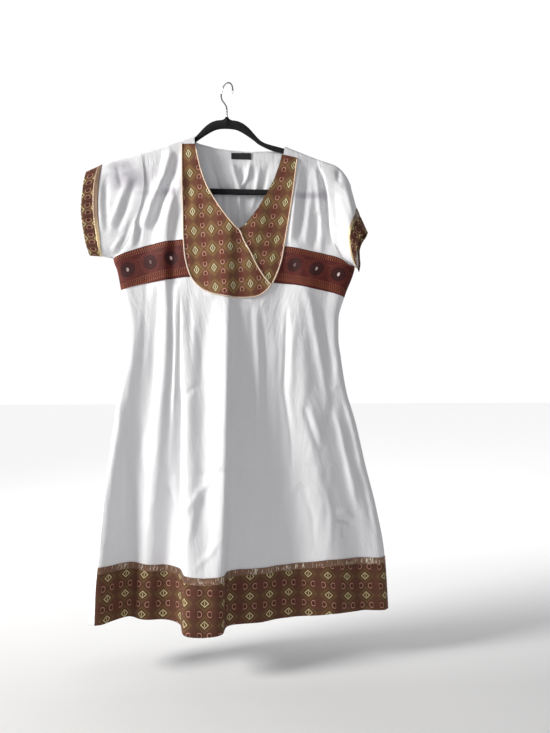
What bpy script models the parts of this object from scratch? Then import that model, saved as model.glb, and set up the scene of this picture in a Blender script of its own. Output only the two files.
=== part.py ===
"""Habesha kemis dress of white cotton, hanging on a flocked hanger.

The origin is the inside of the hook's arc, where a rod would touch it. +X is the viewer's right, +Z is up and the
front faces -Y. Tables are in millimetres: a drop is the distance below the origin, and depth is Y, so a front
depth is negative. The cloth is made of thin walls. A section through the body at any drop is one closed smooth curve
through named fold lines, and the front and the back are the two parts of that curve between the side edges.
"""

import math

import bpy
import numpy as np

MM = 0.001

# Walls and seams
CLOTH = 1.5
PRINT = 1.0
SEAM_GAP = 0.3
ROLL = 6.0
ROLL_SHARE = 0.06
STEP = 0.004
EDGE_INSET = 0.2

# Side outline of the body: the armhole down to the underarm, then the side edge
LEFT_EDGE = (
    # drop, x
    (100, -170), (140, -167), (165, -163), (200, -160.5), (240, -166), (290, -183), (320, -195),
    (338, -209), (350, -222), (375, -214), (410, -207.5), (460, -198), (520, -195.5), (550, -197),
    (595, -207), (650, -216), (710, -223), (770, -230), (835, -238), (910, -247.5), (980, -258), (1055, -264),
)
RIGHT_EDGE = (
    (100, 182), (150, 186), (200, 199), (235, 204), (285, 208), (320, 218), (340, 229),
    (353, 243), (362, 257), (376, 254), (421, 236.5), (470, 224), (505, 224), (541, 228.5),
    (609, 239.5), (674, 258.5), (758, 278), (846, 300.5), (935, 317), (1055, 325),
)
# Half the opening between the front and back edges: an armhole above, a closed side seam below
LEFT_ARMHOLE = ((100, 7), (250, 10), (326, 7), (350, 0.5 * SEAM_GAP), (1100, 0.5 * SEAM_GAP))
RIGHT_ARMHOLE = ((100, 7), (250, 10), (338, 7), (362, 0.5 * SEAM_GAP), (1100, 0.5 * SEAM_GAP))
# The left side seam turns to the front towards the hem
LEFT_SEAM_DEPTH = ((350, 0), (433, -2), (550, -7), (720, -25), (785, -36), (1055, -66))
LEFT_SEAM_INSET = ((700, 0), (785, 2), (1055, 18))
RIGHT_SEAM_DEPTH = ((350, 0), (1055, -3))

# Fold lines. A place is a share of the way from the side edge to the box fold, or from the box fold to the side
# edge, or millimetres for the box fold's own lines. Depths are taken at the four levels.
PLACE_LEVELS = (110, 433, 1055)
DEPTH_LEVELS = (110, 433, 720, 1055)
LEFT_FOLDS = (
    # name, place at top, bust, hem, depth at top, bust, thigh, hem, drop of the hem
    ("left edge", 0.0, 0.0, 0.0, 0, 0, 0, 0, 1045),
    ("left round", 0.05, 0.06, 0.07, -8, -9, -31, -64, 1045),
    ("left valley", 0.42, 0.45, 0.36, -8, -9, -14, -20, 1046),
    ("left ridge", 0.72, 0.75, 0.54, -9, -20, -29, -34, 1048),
    ("left hollow", 0.88, 0.88, 0.82, -9, -14, -20, -28, 1051),
)
BOX_FOLDS = (
    ("box left root", -91, -91, -91, -9, -17, -27, -41, 1055),
    ("box left crest", -66, -79, -77, -9.5, -19, -43, -89, 1059),
    ("box middle", -38, -42, -44, -10, -23, -51, -95, 1062),
    ("box right crest", 4, 3, -12, -11, -28, -58, -90, 1059),
    ("box right root", 26, 14, 3, -12, -21, -32, -44, 1061),
)
RIGHT_FOLDS = (
    ("shade slope", 0.24, 0.22, 0.19, -12, -18, -25, -33, 1060),
    ("right valley", 0.44, 0.41, 0.36, -11, -13, -15, -17, 1058),
    ("right ridge", 0.59, 0.60, 0.62, -10, -18, -27, -37, 1046),
    ("right hollow", 0.76, 0.80, 0.84, -9, -11, -14, -18, 1047),
    ("right round", 0.955, 0.96, 0.97, -7, -9, -12, -15, 1049),
    ("right edge", 1.0, 1.0, 1.0, 0, 0, 0, 0, 1049),
)
BACK_FOLDS = (
    # places are shares of the way from the right edge to the left outline
    ("right edge behind", 0.0, 0.0, 0.0, 0, 0, 0, 0, 1049),
    ("back right round", 0.04, 0.03, 0.03, 7, 8, 11, 14, 1049),
    ("back fold 1", 0.17, 0.15, 0.15, 7, 12, 26, 42, 1052),
    ("back dip 1", 0.29, 0.28, 0.27, 7, 8, 13, 18, 1054),
    ("back fold 2", 0.42, 0.42, 0.41, 7, 13, 30, 50, 1056),
    ("back dip 2", 0.56, 0.56, 0.56, 7, 9, 16, 22, 1057),
    ("back fold 3", 0.70, 0.70, 0.71, 7, 12, 27, 44, 1056),
    ("back dip 3", 0.84, 0.84, 0.85, 7, 8, 10, 12, 1054),
    ("back left round", 0.95, 0.965, 0.97, 7, 7, 3, -4, 1053),
    ("back left turn", 0.985, 1.0, 1.0, 8, 3, -12, -38, 1052),
    ("left edge behind", 1.0, 1.0, 1.0, 0, 0, 0, 0, 1045),
)
FOLD_LINES = LEFT_FOLDS + BOX_FOLDS + RIGHT_FOLDS + BACK_FOLDS
LINES = len(FOLD_LINES)
NAMES = [row[0] for row in FOLD_LINES]
RIGHT_END = NAMES.index("right edge")
BACK_START = NAMES.index("right edge behind")
BACK_END = LINES - 1
# Each side edge's place, the way into its panel, and the fold lines beside the seam, front and back
SIDE_EDGES = (
    (0, 1, 1, BACK_END - 1),
    (RIGHT_END, -1, RIGHT_END - 1, BACK_START + 1),
    (BACK_START, 1, RIGHT_END - 1, BACK_START + 1),
    (BACK_END, -1, 1, BACK_END - 1),
)

# Top outline of the front and back: shoulders over the hanger and the neckline between the neck points
NECK_LEFT = -66
NECK_RIGHT = 116
NECK_SOFT = 1.6
NECK_CORNERS = ((-64.4, 107), (114.4, 126))
# Points of the neckline that a column of each panel passes
FRONT_NECK_POINTS = NECK_CORNERS + ((-66, 105), (-61, 135), (22.5, 291), (116, 123))
BACK_NECK_POINTS = NECK_CORNERS + ((-66, 105), (-61, 116), (116, 123))
FRONT_TOP = (
    # x, drop
    (-175, 143.3), (-120, 125.3), (-66, 104.5), (-64.4, 107), (-62.8, 122), (-58, 147), (-52, 172), (-40, 205.5),
    (-20.7, 239), (-1.5, 266), (15, 286), (22.5, 291), (30, 283), (43, 270), (62, 245.5), (79, 220), (93, 194), (106, 162),
    (112, 141), (114.4, 125.5), (116, 122.5), (150, 135), (200, 153),
)
BACK_TOP = (
    (-175, 143.3), (-120, 125.3), (-66, 104.5), (-64.4, 107), (-61, 115.5), (-54, 118), (-22, 126), (8, 129.4),
    (48, 131.3), (78, 130), (108, 128.5), (114.4, 125.5), (116, 122.5), (150, 135), (200, 153),
)
# Lines across the body that the rows follow
BAND_TOP = (
    (-222, 350), (-195, 338), (-149, 323.5), (-87, 313.6), (20, 316), (119, 324), (166, 332), (215, 342), (257, 362),
)
BAND_BOTTOM = (
    (-206, 412), (-168, 401.6), (-130, 395), (-75, 387), (20, 390), (98, 397), (134, 400), (166, 406), (207, 414),
    (236, 423),
)
BACK_BAND_TOP = ((-222, 350), (257, 362))
BACK_BAND_BOTTOM = ((-206, 412), (236, 423))
HEM_BAND = 105
HEM_RIBBON = 12

# Printed bib, seen from the front
BIB_OUTLINE = (
    # x, drop, from the left shoulder down and round to the right shoulder
    (-88.5, 123.5), (-87.5, 200), (-86, 255), (-84.5, 310), (-80.5, 351), (-69.8, 386), (-50.6, 408), (-28, 419),
    (0, 424.5), (26, 426.5), (51, 425), (70, 418), (90, 396), (106.2, 357), (114.5, 315), (123, 265),
    (131.4, 209.6), (139.5, 147),
)
BIB_TOP = ((113.5, 140.5), (100, 90), (-40, 90), (-61.5, 124))
WRAP_EDGE = ((22.5, 286), (31.7, 311), (45.4, 335.6), (59.2, 363), (74, 386), (90, 404))
NECK_EDGE = (
    (-58, 147), (-52, 172), (-40, 205.5), (-20.7, 239), (-1.5, 266), (15, 286), (22.5, 291),
)
PIPING = 3.0
WRAP_SPARE = 9.0

# Sleeves: the fold along the top, from the shoulder to the cuff seam, and the cuff's seam and end
SLEEVES = {
    "left": {
        "fold": ((-168, 139.5), (-186, 145), (-204, 150.5), (-222, 156.5), (-238, 162.5), (-252, 170)),
        # x, drop, depth, from the top fold to the bottom
        "seam": ((-252, 170, 0), (-253, 175, -6), (-259, 212, -10), (-260, 258, -11), (-252, 320, -9),
                 (-248, 341, -5), (-247, 346, 0)),
        "seam_back": ((-252, 170, 0), (-253, 175, 6), (-260, 212, 9), (-262, 258, 10), (-254, 320, 9),
                      (-248.5, 341, 5), (-247, 346, 0)),
        "end": ((-273.5, 180.5, 0), (-275, 185, -6), (-279.5, 212, -10), (-281, 258, -11), (-274.5, 315, -9),
                (-269.5, 339, -5), (-268.5, 344, 0)),
        "end_back": ((-273.5, 180.5, 0), (-276.5, 185, 6), (-284, 212, 10), (-287.5, 258, 11), (-279, 315, 9),
                     (-271, 339, 5), (-268.5, 344, 0)),
    },
    "right": {
        "fold": ((187, 148.5), (206, 154), (224, 161), (241, 173), (256, 199), (272, 238)),
        "seam": ((272, 238, 0), (264, 254, -28), (252, 289, -46), (251, 322, -38), (258, 343, -20), (266, 353, 2)),
        "seam_back": ((272, 238, 0), (277, 254, 22), (274, 289, 36), (271, 325, 28), (270, 343, 16), (266, 353, 2)),
        "end": ((289, 284, 0), (278, 289, -28), (262, 308, -46), (260, 335, -38), (265, 355, -20), (272, 366, 4)),
        "end_back": ((289, 284, 0), (291, 292, 24), (286, 312, 38), (281, 338, 32), (277, 356, 20), (272, 366, 4)),
    },
}
CUFF_TRIM = 9.0
SLEEVE_STATIONS = 5
FOLD_FADE = 1.5
ARMHOLE_GAP = 0.5
UNDERARM_GAP = 3.0
UNDERARM_POINTS = 5
CUFF_GAP = 0.9

# Neck label on the inside of the back
LABEL = {"left": 9, "right": 49, "top": 134.5, "bottom": 147}
LABEL_WALL = 0.8

# Hanger: half of its outline from the collar round the shoulder to the bar, outer and inner edge
HANGER_HALF = (
    # outer x, drop, inner x, drop
    (2.6, 65.5, 2.6, 89.4), (5, 69.5, 5, 89.4), (9, 71.5, 9, 89.7), (20, 73, 17, 90.8), (30, 76.5, 25, 93.6),
    (39, 82.5, 33, 97.8), (47, 89.8, 41, 102.8), (55, 98.8, 48, 107.6), (63, 107.3, 55.5, 113), (70, 113, 62, 118.2),
    (79, 116.8, 74, 124.5), (92, 120.3, 88, 130.2), (115, 126, 112, 136), (150, 136.4, 147, 146.3),
    (190, 150.8, 187, 160.7), (212, 158.8, 204, 167.4), (221, 165, 211.5, 173.5), (226, 176, 214.5, 183),
    (227, 189, 215, 190), (225.5, 204, 213.5, 198), (220, 214, 210.5, 204.5), (208, 220.3, 203, 208.5),
    (150, 220.3, 150, 208.5), (75, 220.3, 75, 208.5),
)
HANGER_BAR_END = (0, 220.3, 0, 208.5)
HANGER_HALF_DEPTH = 2.5
HANGER_EDGE_DEPTH = 1.3
HANGER_EDGE = 1.6

# Hook: a wire turned about the vertical, with its arc's inside top at the origin
WIRE = 3.2
HOOK_RADIUS = 17.0
HOOK_TURN = 128.0
HOOK_START = -42.0
HOOK_TIP = 205.0
HOOK_ARC_POINTS = 16
COLLAR_TOP = 65.5

MATERIALS = {
    # colour, roughness, metallic
    "white_cotton": ((0.84, 0.83, 0.81), 0.85, 0.0),
    "printed_cotton": ((0.22, 0.09, 0.035), 0.8, 0.0),
    "maroon_ribbon": ((0.16, 0.022, 0.018), 0.6, 0.0),
    "cream_piping": ((0.72, 0.6, 0.44), 0.7, 0.0),
    "gold_ribbon": ((0.55, 0.36, 0.18), 0.35, 0.8),
    "black_label": ((0.012, 0.01, 0.01), 0.6, 0.0),
    "black_velvet": ((0.008, 0.008, 0.01), 0.95, 0.0),
    "chrome": ((0.7, 0.7, 0.72), 0.15, 1.0),
}


def smooth(table, at):
    """Monotone cubic through a table's second column, against its rising first column."""
    places = np.array([row[0] for row in table], float)
    values = np.array([row[1] for row in table], float)
    at = np.clip(at, places[0], places[-1])
    gaps = np.diff(places)
    slopes = np.diff(values) / gaps
    tangents = np.concatenate(([slopes[0]], np.zeros(len(values) - 2), [slopes[-1]]))
    product = slopes[:-1] * slopes[1:]
    total = np.where(product > 0, slopes[:-1] + slopes[1:], 1.0)
    tangents[1:-1] = np.where(product > 0, 2 * product / total, 0.0)
    index = np.clip(np.searchsorted(places, at, side="right") - 1, 0, len(gaps) - 1)
    gap = gaps[index]
    t = (at - places[index]) / gap
    start = values[index] * (1 + 2 * t) * (1 - t) ** 2 + tangents[index] * gap * t * (1 - t) ** 2
    end = values[index + 1] * t * t * (3 - 2 * t) - tangents[index + 1] * gap * t * t * (1 - t)
    return start + end


def straight(table, at):
    """Straight lines through a table's second column, against its rising first column."""
    return np.interp(at, [row[0] for row in table], [row[1] for row in table])


def fold_line_points(drop):
    """X and depth of every fold line at each drop, in the order of FOLD_LINES."""
    left = smooth(LEFT_EDGE, drop)
    right = smooth(RIGHT_EDGE, drop)
    seam = left + smooth(LEFT_SEAM_INSET, drop)
    left_half = smooth(LEFT_ARMHOLE, drop)
    right_half = smooth(RIGHT_ARMHOLE, drop)
    left_depth = smooth(LEFT_SEAM_DEPTH, drop)
    right_depth = smooth(RIGHT_SEAM_DEPTH, drop)
    box = {row[0]: smooth(tuple(zip(PLACE_LEVELS, row[1:4])), drop) for row in BOX_FOLDS}
    xs = []
    depths = []
    for row in FOLD_LINES:
        place = smooth(tuple(zip(PLACE_LEVELS, row[1:4])), drop)
        depth = smooth(tuple(zip(DEPTH_LEVELS, row[4:8])), drop)
        if row in LEFT_FOLDS:
            x = seam + (box["box left root"] - seam) * place
        elif row in BOX_FOLDS:
            x = place
        elif row in RIGHT_FOLDS:
            x = box["box right root"] + (right - box["box right root"]) * place
        else:
            x = right + (left - right) * place
        if row[0] == "left edge":
            depth = left_depth - left_half
        if row[0] == "right edge":
            depth = right_depth - right_half
        if row[0] == "right edge behind":
            depth = right_depth + right_half
        if row[0] == "left edge behind":
            x = seam
            depth = left_depth + left_half
        xs.append(x)
        depths.append(depth)
    return np.stack(xs, -1), np.stack(depths, -1)


def section(u, drop):
    """Point (x, depth) at place u of the closed curve through the fold lines at a drop."""
    u, drop = np.broadcast_arrays(np.asarray(u, float), np.asarray(drop, float))
    xs, depths = fold_line_points(drop)
    index = np.floor(u).astype(int)
    t = u - index
    corners = []
    for offset in (-1, 0, 1, 2):
        line = ((index + offset) % LINES)[..., None]
        x = np.take_along_axis(xs, line, -1)[..., 0]
        depth = np.take_along_axis(depths, line, -1)[..., 0]
        corners.append(np.stack((x, depth), -1))
    knots = [np.zeros_like(t)]
    for before, after in zip(corners, corners[1:]):
        length = np.linalg.norm(after - before, axis=-1)
        knots.append(knots[-1] + np.sqrt(np.maximum(length, 0.01)))
    at = knots[1] + (knots[2] - knots[1]) * t

    def mix(first, second, low, high):
        share = ((at - low) / (high - low))[..., None]
        return first * (1 - share) + second * share

    a1 = mix(corners[0], corners[1], knots[0], knots[1])
    a2 = mix(corners[1], corners[2], knots[1], knots[2])
    a3 = mix(corners[2], corners[3], knots[2], knots[3])
    b1 = mix(a1, a2, knots[0], knots[2])
    b2 = mix(a2, a3, knots[1], knots[3])
    point = mix(b1, b2, knots[1], knots[2])
    return point[..., 0], point[..., 1]


def is_back(u):
    """True on the back's part of the curve."""
    return np.mod(u, LINES) > BACK_START - 0.5


def top_drop(u):
    """Drop of the shoulder or neckline at place u, found by halving."""
    u = np.asarray(u, float)
    low = np.full(u.shape, 100.0)
    high = np.full(u.shape, 300.0)
    for _ in range(32):
        middle = 0.5 * (low + high)
        x = section(u, middle)[0]
        outline = np.where(is_back(u), straight(BACK_TOP, x), straight(FRONT_TOP, x))
        above = middle < outline
        low = np.where(above, middle, low)
        high = np.where(above, high, middle)
    return 0.5 * (low + high)


def line_drop(u, front, back):
    """Drop of a line across the body that is given against x, one table for the front and one for the back."""
    drop = np.full(np.shape(u), 380.0)
    for _ in range(12):
        x = section(u, drop)[0]
        drop = np.where(is_back(u), smooth(back, x), smooth(front, x))
    return drop


def hem_drop(u):
    """Drop of the hem at place u."""
    drops = np.array([row[8] for row in FOLD_LINES] + [FOLD_LINES[0][8]], float)
    return np.interp(np.mod(u, LINES), np.arange(LINES + 1), drops)


def lines_at(u):
    """The five lines across the body at place u: top, band top, band bottom, hem ribbon and hem."""
    hem = hem_drop(u)
    return (
        top_drop(u),
        line_drop(u, BAND_TOP, BACK_BAND_TOP),
        line_drop(u, BAND_BOTTOM, BACK_BAND_BOTTOM),
        hem - HEM_BAND,
        hem,
    )


def cloth(u, v, lines):
    """Body cloth at place u across and v down: v counts the lines across, from the top, 0, to the hem, 4."""
    angle = np.clip(v / ROLL_SHARE, 0, 1) * math.pi / 2
    fall = ROLL * (1 - np.cos(angle))
    top = lines[0]
    upper = top + fall + (lines[1] - top - ROLL) * np.clip((v - ROLL_SHARE) / (1 - ROLL_SHARE), 0, 1)
    drop = np.where(v <= 1, upper, 0)
    for step in (1, 2, 3):
        between = lines[step] + (lines[step + 1] - lines[step]) * (v - step)
        drop = np.where(v > step, between, drop)
    x, depth = section(u, drop)
    neck = np.minimum(x - NECK_LEFT, NECK_RIGHT - x) / NECK_SOFT
    closed = np.where(v < ROLL_SHARE, 1 - np.clip(neck, 0, 1), 1.0)
    side = np.where(is_back(u), 0.5 * SEAM_GAP, -0.5 * SEAM_GAP)
    depth = side + (depth - side) * (1 - closed * (1 - np.sin(angle)))
    return np.stack((x, depth, -drop), -1)


def body_grid(us, vs):
    """Points and outward normals of the body cloth on a grid of places."""
    u, v = np.meshgrid(us, vs, indexing="ij")
    lines = lines_at(u)
    points = cloth(u, v, lines)
    ahead = cloth(u + STEP, v, lines_at(u + STEP)) - cloth(u - STEP, v, lines_at(u - STEP))
    for edge, inward, front, back in SIDE_EDGES:
        at_edge = np.abs(us - edge) < STEP
        if not at_edge.any():
            continue
        near = [line[at_edge] for line in lines]
        own = cloth(edge + inward * STEP, v[at_edge], near) - points[at_edge]
        shared = cloth(back, v[at_edge], near) - cloth(front, v[at_edge], near)
        shared *= 1 if edge in (RIGHT_END, BACK_START) else -1
        at_armhole = (v[at_edge] < 1 - STEP)[..., None]
        ahead[at_edge] = np.where(at_armhole, unit(own) * inward, unit(shared))
    forward = np.where(v > 3.99, -1.0, 1.0)
    down = (cloth(u, v + forward * STEP, lines) - points) * forward[..., None]
    return points, unit(np.cross(down, ahead))


def unit(vectors):
    """Vectors scaled to length 1."""
    return vectors / np.maximum(np.linalg.norm(vectors, axis=-1, keepdims=True), 1e-12)


def place_at(x, drop, low, high):
    """Place u between low and high where the section passes x at a drop."""
    for _ in range(40):
        middle = 0.5 * (low + high)
        if section(middle, drop)[0] < x:
            low = middle
        else:
            high = middle
    return 0.5 * (low + high)


def shell_faces(across, down, round_across):
    """Triangles of a closed wall on an across by down grid: outer points first, then inner ones."""
    count = across * down
    faces = []

    def at(i, j):
        return (i % across) * down + j

    last = across if round_across else across - 1
    for i in range(last):
        for j in range(down - 1):
            a, b, c, d = at(i, j), at(i, j + 1), at(i + 1, j + 1), at(i + 1, j)
            faces += [(a, b, c), (a, c, d)]
            faces += [(count + c, count + b, count + a), (count + d, count + c, count + a)]
    rims = [[at(i, 0) for i in range(across)], [at(i, down - 1) for i in reversed(range(across))]]
    if round_across:
        rims = [rim + rim[:1] for rim in rims]
    else:
        rims += [[at(across - 1, j) for j in range(down)], [at(0, j) for j in reversed(range(down))]]
    for rim in rims:
        for a, b in zip(rim, rim[1:]):
            faces += [(a, b, count + b), (a, count + b, count + a)]
    return faces


def signed_volume(points, faces):
    """Volume that the faces enclose, negative where they face inwards."""
    a, b, c = (points[[face[k] for face in faces]] for k in range(3))
    return float(np.einsum("ij,ij->i", a, np.cross(b, c)).sum()) / 6


def add_object(name, points, faces, material):
    """Object from points in millimetres and triangles, faces turned out."""
    points = np.asarray(points, float)
    if signed_volume(points, faces) < 0:
        faces = [face[::-1] for face in faces]
    mesh = bpy.data.meshes.new(name)
    mesh.from_pydata((points * MM).tolist(), [], faces)
    mesh.materials.append(materials[material])
    mesh.shade_smooth()
    made = bpy.data.objects.new(name, mesh)
    bpy.context.scene.collection.objects.link(made)
    return made


def add_wall(name, points, normals, wall, material, lift=0.0, round_across=False):
    """Closed wall of a thickness round a grid of points, its middle lifted along the normals."""
    outer = points + normals * (lift + 0.5 * wall)
    inner = points + normals * (lift - 0.5 * wall)
    both = np.concatenate((outer.reshape(-1, 3), inner.reshape(-1, 3)))
    faces = shell_faces(points.shape[0], points.shape[1], round_across)
    return add_object(name, both, faces, material)


def layer(number):
    """Lift of a print's middle: the first layer lies on the cloth, and the second on the first."""
    return 0.5 * CLOTH + SEAM_GAP + 0.5 * PRINT + number * (PRINT + SEAM_GAP)


def keep_inside(piece, outline):
    """Cut a piece to an outline seen from the front, a list of (x, drop)."""
    count = len(outline)
    points = [(x, depth, -drop) for depth in (-200.0, 60.0) for x, drop in outline]
    cutter_mesh = bpy.data.meshes.new(piece.name + "_outline")
    faces = [tuple(range(count)), tuple(range(2 * count - 1, count - 1, -1))]
    for i in range(count):
        j = (i + 1) % count
        faces.append((j, i, count + i, count + j))
    cutter_mesh.from_pydata([tuple(value * MM for value in point) for point in points], [], faces)
    cutter = bpy.data.objects.new(piece.name + "_outline", cutter_mesh)
    turned = sum((b[0] - a[0]) * (b[1] + a[1]) for a, b in zip(outline, outline[1:] + outline[:1])) < 0
    if turned:
        cutter_mesh.flip_normals()
    bpy.context.scene.collection.objects.link(cutter)
    cutter.hide_render = True
    cutter.display_type = "WIRE"
    cut = piece.modifiers.new("outline", "BOOLEAN")
    cut.operation = "INTERSECT"
    cut.object = cutter


def as_list(line):
    """A flat line as a list of (x, drop)."""
    return [tuple(point) for point in line.tolist()]


def curve_through(points, spacing):
    """Smooth open curve through points, sampled about every spacing millimetres."""
    points = np.array(points, float)
    ends = np.concatenate((2 * points[:1] - points[1:2], points, 2 * points[-1:] - points[-2:-1]))
    made = []
    for k in range(len(points) - 1):
        a, b, c, d = ends[k:k + 4]
        count = max(1, round(float(np.linalg.norm(c - b)) / spacing))
        for t in np.arange(count) / count:
            made.append(0.5 * (2 * b + (c - a) * t + (2 * a - 5 * b + 4 * c - d) * t ** 2
                               + (3 * b - 3 * c + d - a) * t ** 3))
    made.append(points[-1])
    return np.array(made)


def moved_aside(line, distance):
    """A flat line moved to its left by a distance, or to its right where that is negative."""
    ahead = np.gradient(line, axis=0)
    side = unit(np.stack((ahead[:, 1], -ahead[:, 0]), -1))
    return line + side * distance


def strip(line, low, high):
    """Outline of a strip beside a line, between two distances to its left."""
    return as_list(moved_aside(line, low)) + as_list(moved_aside(line, high)[::-1])


def front_columns():
    """Places across the front: every fold line, points between them, and the neckline's corners."""
    places = set(np.arange(0, RIGHT_END + 0.01, 0.5).tolist())
    places |= {EDGE_INSET, RIGHT_END - EDGE_INSET}
    for x, drop in FRONT_NECK_POINTS:
        exact = place_at(x, drop, 0.0, float(RIGHT_END))
        near = min(places, key=lambda place: abs(place - exact))
        if near % 0.5 == 0 and abs(near - exact) < 0.2:
            places.discard(near)
        places.add(exact)
    return np.array(sorted(places))


def back_columns():
    """Places across the back, from the right edge to the left edge."""
    places = set(np.arange(BACK_START, BACK_END + 0.01, 0.5).tolist())
    for x, drop in BACK_NECK_POINTS:
        exact = BACK_END - place_at_back(x, drop)
        near = min(places, key=lambda place: abs(place - exact))
        if near % 0.5 == 0 and abs(near - exact) < 0.2:
            places.discard(near)
        places.add(exact)
    return np.array(sorted(places))


def place_at_back(x, drop):
    """Distance in places from the left edge to where the back passes x at a drop."""
    low = 0.0
    high = float(BACK_END - BACK_START)
    for _ in range(40):
        middle = 0.5 * (low + high)
        if section(BACK_END - middle, drop)[0] < x:
            low = middle
        else:
            high = middle
    return 0.5 * (low + high)


ROLL_ROWS = [0.0, 0.25 * ROLL_SHARE, 0.55 * ROLL_SHARE, ROLL_SHARE]
ARM_ROWS = ROLL_ROWS + [0.2, 0.36, 0.52, 0.66, 0.78, 0.88, 0.95, 1.0]
BAND_ROWS = [1.5, 2.0]
SKIRT_ROWS = [2.0 + k / 10 for k in range(1, 10)]
RIBBON_ROW = 3.0 + HEM_RIBBON / HEM_BAND
HEM_MIDDLE_ROW = 3.55
HEM_ROWS = [3.0, RIBBON_ROW, HEM_MIDDLE_ROW, 4.0]
ROWS = ARM_ROWS + BAND_ROWS + SKIRT_ROWS + HEM_ROWS


def front_grid(low_row, high_row, low_place=0.0, high_place=RIGHT_END):
    """Points and normals of part of the front, on the panel's own rows and columns."""
    columns = front_columns()
    columns = columns[(columns >= low_place - STEP) & (columns <= high_place + STEP)]
    rows = np.array([row for row in ROWS if low_row - STEP <= row <= high_row + STEP])
    return body_grid(columns, rows)


def add_panels():
    """Front and back of the body, edge to edge at the shoulders and sides."""
    points, normals = front_grid(0.0, 4.0)
    add_wall("front_panel", points, normals, CLOTH, "white_cotton")
    points, normals = body_grid(back_columns(), np.array(ROWS))
    add_wall("back_panel", points, normals, CLOTH, "white_cotton")


def bib_region():
    """Points and normals of the front under the bib, a little past its outline."""
    low = math.floor(place_at(-95, 300, 0.0, RIGHT_END)) - 0.5
    high = math.ceil(place_at(150, 200, 0.0, RIGHT_END)) + 0.5
    columns = front_columns()
    columns = columns[(columns >= low) & (columns <= high)]
    rows = np.array([row for row in ROWS if row <= 2.2 and row not in ROLL_ROWS[1:-1]])
    return body_grid(columns, rows)


def add_bib():
    """Printed bib in two pieces, the left one wrapped over the right one, with piping round its edges."""
    points, normals = bib_region()
    half = 0.5 * SEAM_GAP
    outline = curve_through(BIB_OUTLINE, 9.0)
    inside = as_list(moved_aside(outline, half)) + list(BIB_TOP)
    wrap = curve_through(WRAP_EDGE, 9.0)
    left_of_wrap = [(22.5 - half, 60.0)] + as_list(moved_aside(wrap, -half)) + [(-200.0, 460.0), (-200.0, 60.0)]
    right_of_wrap = [(22.5 + half, 60.0)] + as_list(moved_aside(wrap, half)) + [(260.0, 460.0), (260.0, 60.0)]
    for name, side in (("bib_over", left_of_wrap), ("bib_under", right_of_wrap)):
        piece = add_wall(name, points, normals, PRINT, "printed_cotton", layer(0))
        keep_inside(piece, inside)
        keep_inside(piece, side)
    piping = add_wall("bib_piping", points, normals, PRINT, "cream_piping", layer(1))
    keep_inside(piping, strip(outline, -0.5 * PIPING, 0.5 * PIPING))
    neck_line = curve_through(NECK_EDGE, 9.0)
    short_wrap = wrap[np.hypot(*(wrap - wrap[-1]).T) > PIPING + SEAM_GAP + WRAP_SPARE]
    short_wrap = short_wrap[short_wrap[:, 1] > neck_line[-1, 1] + 0.5 * PIPING]
    line = np.concatenate((neck_line[:-1], short_wrap))
    piping = add_wall("neck_piping", points, normals, PRINT, "cream_piping", layer(1))
    keep_inside(piping, strip(line, -0.75 * PIPING, 0.25 * PIPING))


def add_bands():
    """Woven ribbon band across the bust, one piece each side of the bib."""
    outline = curve_through(BIB_OUTLINE, 9.0)
    outside = moved_aside(outline, -0.5 * SEAM_GAP)
    middle = len(outside) // 2
    left = as_list(outside[:middle]) + [(0.0, 470.0), (-300.0, 470.0), (-300.0, 60.0)]
    right = as_list(outside[middle:]) + [(320.0, 60.0), (320.0, 470.0), (0.0, 470.0)]
    split = math.floor(place_at(20, 380, 0.0, RIGHT_END))
    for name, side, low, high in (
        ("bust_band_left", left, EDGE_INSET, split),
        ("bust_band_right", right, split, RIGHT_END - EDGE_INSET),
    ):
        points, normals = front_grid(1.0, 2.0, low, high)
        band = add_wall(name, points, normals, PRINT, "maroon_ribbon", layer(0))
        keep_inside(band, side)


def add_hem():
    """Printed hem band across the front with the metallic ribbon along its top."""
    gap = SEAM_GAP / HEM_BAND
    columns = front_columns()
    points, normals = body_grid(columns, np.array([3.0, RIBBON_ROW]))
    add_wall("hem_ribbon", points, normals, PRINT, "gold_ribbon", layer(0))
    points, normals = body_grid(columns, np.array([RIBBON_ROW + gap, HEM_MIDDLE_ROW, 4.0]))
    add_wall("hem_band", points, normals, PRINT, "printed_cotton", layer(0))


def along(points, shares):
    """Points at shares of the length of a smooth curve."""
    dense = curve_through(points, 2.0)
    length = np.concatenate(([0.0], np.cumsum(np.linalg.norm(np.diff(dense, axis=0), axis=1))))
    return np.stack([np.interp(shares, length / length[-1], dense[:, k]) for k in range(3)], -1)


def sleeve_rings(side):
    """Three rings of a sleeve with the same number of points: armhole, cuff seam and cuff end."""
    sizes = SLEEVES[side]
    front_place, back_place = (0, BACK_END) if side == "left" else (RIGHT_END, BACK_START)
    front, front_normals = body_grid(np.array([float(front_place)]), np.array(ARM_ROWS))
    back, back_normals = body_grid(np.array([float(back_place)]), np.array(ARM_ROWS))
    front, front_normals, back, back_normals = front[0], front_normals[0], back[0], back_normals[0]
    length = np.concatenate(([0.0], np.cumsum(np.linalg.norm(np.diff(front, axis=0), axis=1))))
    shares = length / length[-1]
    armhole = np.concatenate((front, back[-2:0:-1]))
    armhole[0, 1] = 0.0
    armhole[len(front) - 1, 1] = 0.0
    normals = np.concatenate((front_normals, back_normals[-2:0:-1]))
    normals[0] = unit(front_normals[0] + back_normals[0])
    normals[len(front) - 1] = (0.0, 0.0, -1.0)
    rings = [armhole]
    for key in ("seam", "end"):
        halves = []
        for name in (key, key + "_back"):
            points = along([(x, depth, -drop) for x, drop, depth in sizes[name]], shares)
            halves.append(points)
        rings.append(np.concatenate((halves[0], halves[1][-2:0:-1])))
    weights = np.concatenate((1 - shares, (1 - shares)[-2:0:-1]))
    return rings, normals, weights


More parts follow.
